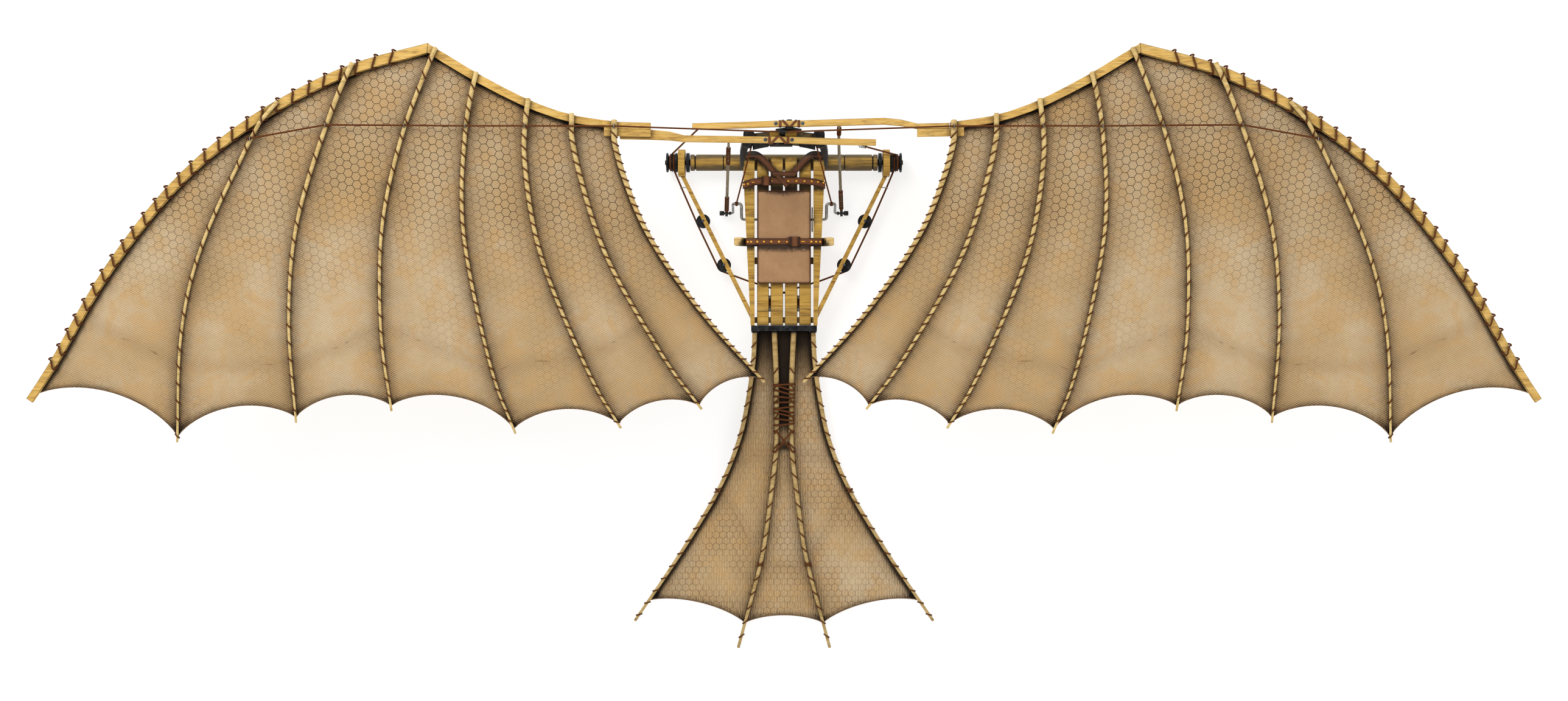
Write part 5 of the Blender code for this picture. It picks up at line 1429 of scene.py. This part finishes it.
def tail_lacing():
    """Cord laced across the two inner ribs, with a cross behind it."""
    form = Form()
    axis = fine_line(*TAIL_INNER)
    for places in LACING:
        over = 0.006 if places == LACING[-1] else 0.0
        ends = []
        for (_, side), y in zip(SIDES, places):
            spot, r = min(axis, key=lambda row: abs(row[0].y - y))
            ends.append([Vector((side * (spot.x + a * (r + 0.0035)), y, spot.z + b * (r + 0.0035) + over * (b > 0.5)))
                         for a, b in ((0.85, -0.75), (1.05, 0.05), (0.72, 0.74), (0.05, 1.06))])
        middle = (ends[0][-1] + ends[1][-1]) / 2 - UP * 0.002
        form.tube(smooth_path(ends[0] + [middle] + ends[1][::-1], 40), 0.0064, 8)
    form.piece("tail_lacing", CORD, "frame")


# Crank, board and yoke

def crank():
    """The bent crank tube with a collar and a grip at each end."""
    half = rounded_path(((0.470, *CRANK_PIN), (0.3785, *CRANK_PIN), (0.3785, 1.146, 0.170), (0.315, 1.146, 0.170),
                         (0.315, *CRANK_AXIS), (0.0, *CRANK_AXIS)), 0.022)
    path = half + mirrored(half[-2::-1], -1)
    form = Form().tube(path, 1.0, 14, scale=[0.0112 if 0.306 < abs(p.x) < 0.376 else 0.0095 for p in path])
    for _, side in SIDES:
        for x, r, long in ((0.4035, 0.0150, 0.004), (0.4635, 0.0175, 0.017)):
            form.turned((side * x, *CRANK_PIN), (1, 0, 0), (
                (r * 0.55, -long), (r * 0.88, -long), (r, 0.002 - long), (r, long - 0.002), (r * 0.88, long),
                (r * 0.55, long)))
    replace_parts(form.piece("crank_tube", CRANK_STEEL, "crank"), "crankshaft")


def plank(form, low, high, edge):
    """A board along Y with bevelled edges, from its lowest to its highest corner."""
    rings = []
    for y, inset in ((low[1], edge), (low[1] + edge, 0.0), (high[1] - edge, 0.0), (high[1], edge)):
        a, b, c, d = low[0] + inset, high[0] - inset, low[2] + inset, high[2] - inset
        rings.append([(x, y, z) for x, z in (
            (a + edge, c), (b - edge, c), (b, c + edge), (b, d - edge), (b - edge, d), (a + edge, d), (a, d - edge),
            (a, c + edge))])
    form.grid(rings)


DECK_SLATS = ((-0.199, -0.1125), (-0.0985, -0.007), (0.007, 0.0985), (0.1125, 0.199))
DECK_BATTENS = ((0.2640, 0.307), (0.700, 0.750), (1.292, 1.336))


def deck():
    """The four slats of the board and the three battens below them."""
    form = Form()
    for left, right in DECK_SLATS:
        plank(form, (left, 0.2456, 0.162), (right, 1.494, 0.180), 0.0028)
    for rear, front in DECK_BATTENS:
        plank(form, (-0.2177, rear, 0.138), (0.2177, front, 0.1632), 0.0020)
    piece = form.piece("deck_board", BOARD_WOOD, "frame", smooth=False)
    # The bevelled faces take the near-black edge colour, painted shade along the slats' edges.
    piece.data.materials.append(BOARD_EDGE)
    for face in piece.data.polygons:
        face.material_index = int(max(abs(n) for n in face.normal) < 0.95)
    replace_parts(piece, "deck")


# the yoke's legs: height, y of the back, inner and outer x, depth
YOKE_LEG = ((0.1632, 1.4030, 0.3008, 0.3145, 0.026), (0.1950, 1.4130, 0.3008, 0.3190, 0.028),
            (0.2080, 1.4170, 0.3000, 0.3200, 0.029), (0.2700, 1.4380, 0.2936, 0.3222, 0.032),
            (0.3300, 1.4570, 0.2860, 0.3215, 0.034), (0.4000, 1.4800, 0.2760, 0.3200, 0.036),
            (0.4800, 1.5070, 0.2620, 0.3115, 0.038), (0.5600, 1.5350, 0.2480, 0.3000, 0.040))
HEAD_X, HEAD_Y, HEAD_LOW, HEAD_HIGH = (0.2247, 0.2917), (1.5120, 1.6360), 0.542, 0.600


def yoke():
    """Each of the yoke's horn-shaped iron legs with the head on it and the pin of its pulley, and the iron edging
    of the arched beam between them."""
    e = 0.0022
    legs = [[(a, b, z) for a, b in (
        (inner, y + e), (inner + e, y), (outer - e, y), (outer, y + e), (outer, y + deep - e), (outer - e, y + deep),
        (inner + e, y + deep), (inner, y + deep - e))] for z, y, inner, outer, deep in YOKE_LEG]
    middle = ((HEAD_X[0] + HEAD_X[1]) / 2, (HEAD_Y[0] + HEAD_Y[1]) / 2)
    heads = [[(middle[0] + x, middle[1] + y, z) for x, y in rounded_box(
        (HEAD_X[1] - HEAD_X[0]) / 2, (HEAD_Y[1] - HEAD_Y[0]) / 2, 0.024, inset, 6)]
        for z, inset in ((HEAD_LOW, 0.002), (HEAD_LOW + 0.002, 0.0), (HEAD_HIGH - 0.002, 0.0), (HEAD_HIGH, 0.002))]
    edges = []
    for k in range(11):
        x = 0.1100 + 0.1140 * k / 10
        arch = 1 - (x / 0.2244) ** 2
        top, back = 0.600 + 0.100 * arch, 1.503 + 0.019 * arch
        edges.append([(x, back + a, top + b) for a, b in (
            (-0.0050, 0.0042), (0.034, 0.0042), (0.034, 0.0006), (-0.0006, 0.0006), (-0.0006, -0.046),
            (-0.0050, -0.046))])
    for label, side in SIDES:
        form = Form().grid([mirrored(ring, side) for ring in legs]).grid([mirrored(ring, side) for ring in heads])
        form.turned((side * YOKE_PULLEY[0], YOKE_PULLEY[1], HEAD_HIGH), UP, (
            (0.0130, -0.002), (0.0130, 0.0165), (0.0120, 0.0175), (0.0070, 0.0175), (0.0070, 0.0445),
            (0.0110, 0.0445), (0.0110, 0.0480), (0.0090, 0.0495)))
        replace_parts(form.piece("yoke_leg_" + label, IRON, "frame", smooth=False), "yoke_" + label)
        edging = Form().grid([mirrored(ring, side) for ring in edges])
        edging.piece("beam_edging_" + label, IRON, "frame", smooth=False)


def saddle():
    """The two wooden blocks on the pivot bracket's plate, either side of the centre ring's post."""
    low, steps = 0.7106, 6
    for name, left, right in (("left", -0.101, -0.032), ("right", 0.008, 0.089)):
        rings = []
        for k in range(steps + 1):
            x = left + (right - left) * k / steps
            off = 0.003 if k in (0, steps) else 0.0
            rings.append([(x, y, z) for y, z in (
                (1.5700, low), (1.6175, low), (1.6175, 0.7300 - off), (1.6145, 0.7335 - off), (1.5730, 0.7335 - off),
                (1.5700, 0.7300 - off))])
        Form().grid(rings).piece("pivot_saddle_" + name, SADDLE_WOOD, "frame", smooth=False)


for build in (belts, harness, saddle, crank, yoke, deck, cushion, lever_lashings, rod_wraps, drum_windings,
              control_ropes, strut_ropes, crank_ropes, tail_lacing):
    build()


# Floor, light and camera

def studio():
    bpy.ops.mesh.primitive_plane_add(size=60, location=(0, 0, -0.0005))
    floor = bpy.context.object
    floor.name = "floor"
    g = Graph("floor")
    speck = g.noise(g.place(), 3.0, 3.0)
    g.finish(g.mix(speck, (0.40, 0.40, 0.40, 1), (0.43, 0.43, 0.43, 1)), 0.9, Specular_IOR_Level=0.0,
             Emission_Color=(1, 1, 1, 1), Emission_Strength=0.72)
    floor.data.materials.append(g.material)
    scene.world = bpy.data.worlds.new("studio")
    scene.world.use_nodes = True
    background = scene.world.node_tree.nodes["Background"].inputs
    background["Color"].default_value = (1.0, 0.99, 0.97, 1)
    background["Strength"].default_value = 0.68
    for name, place, size, power in (("key", (-7.0, 9.0, 12.0), 8.0, 1150), ("fill", (9.0, -8.0, 11.0), 9.0, 380)):
        light = bpy.data.lights.new(name, "AREA")
        light.shape = "SQUARE"
        light.size = size
        light.energy = power
        lamp = bpy.data.objects.new(name, light)
        scene.collection.objects.link(lamp)
        lamp.location = place
        lamp.rotation_euler = (-Vector(place)).to_track_quat("-Z", "Y").to_euler()
    camera = bpy.data.cameras.new("camera")
    camera.lens = 40
    camera.sensor_width = 36
    camera.clip_end = 200
    scene.camera = bpy.data.objects.new("camera", camera)
    scene.collection.objects.link(scene.camera)
    scene.camera.location = (0, 0.06, CAMERA_HEIGHT)
    scene.view_settings.view_transform = "Standard"


studio()
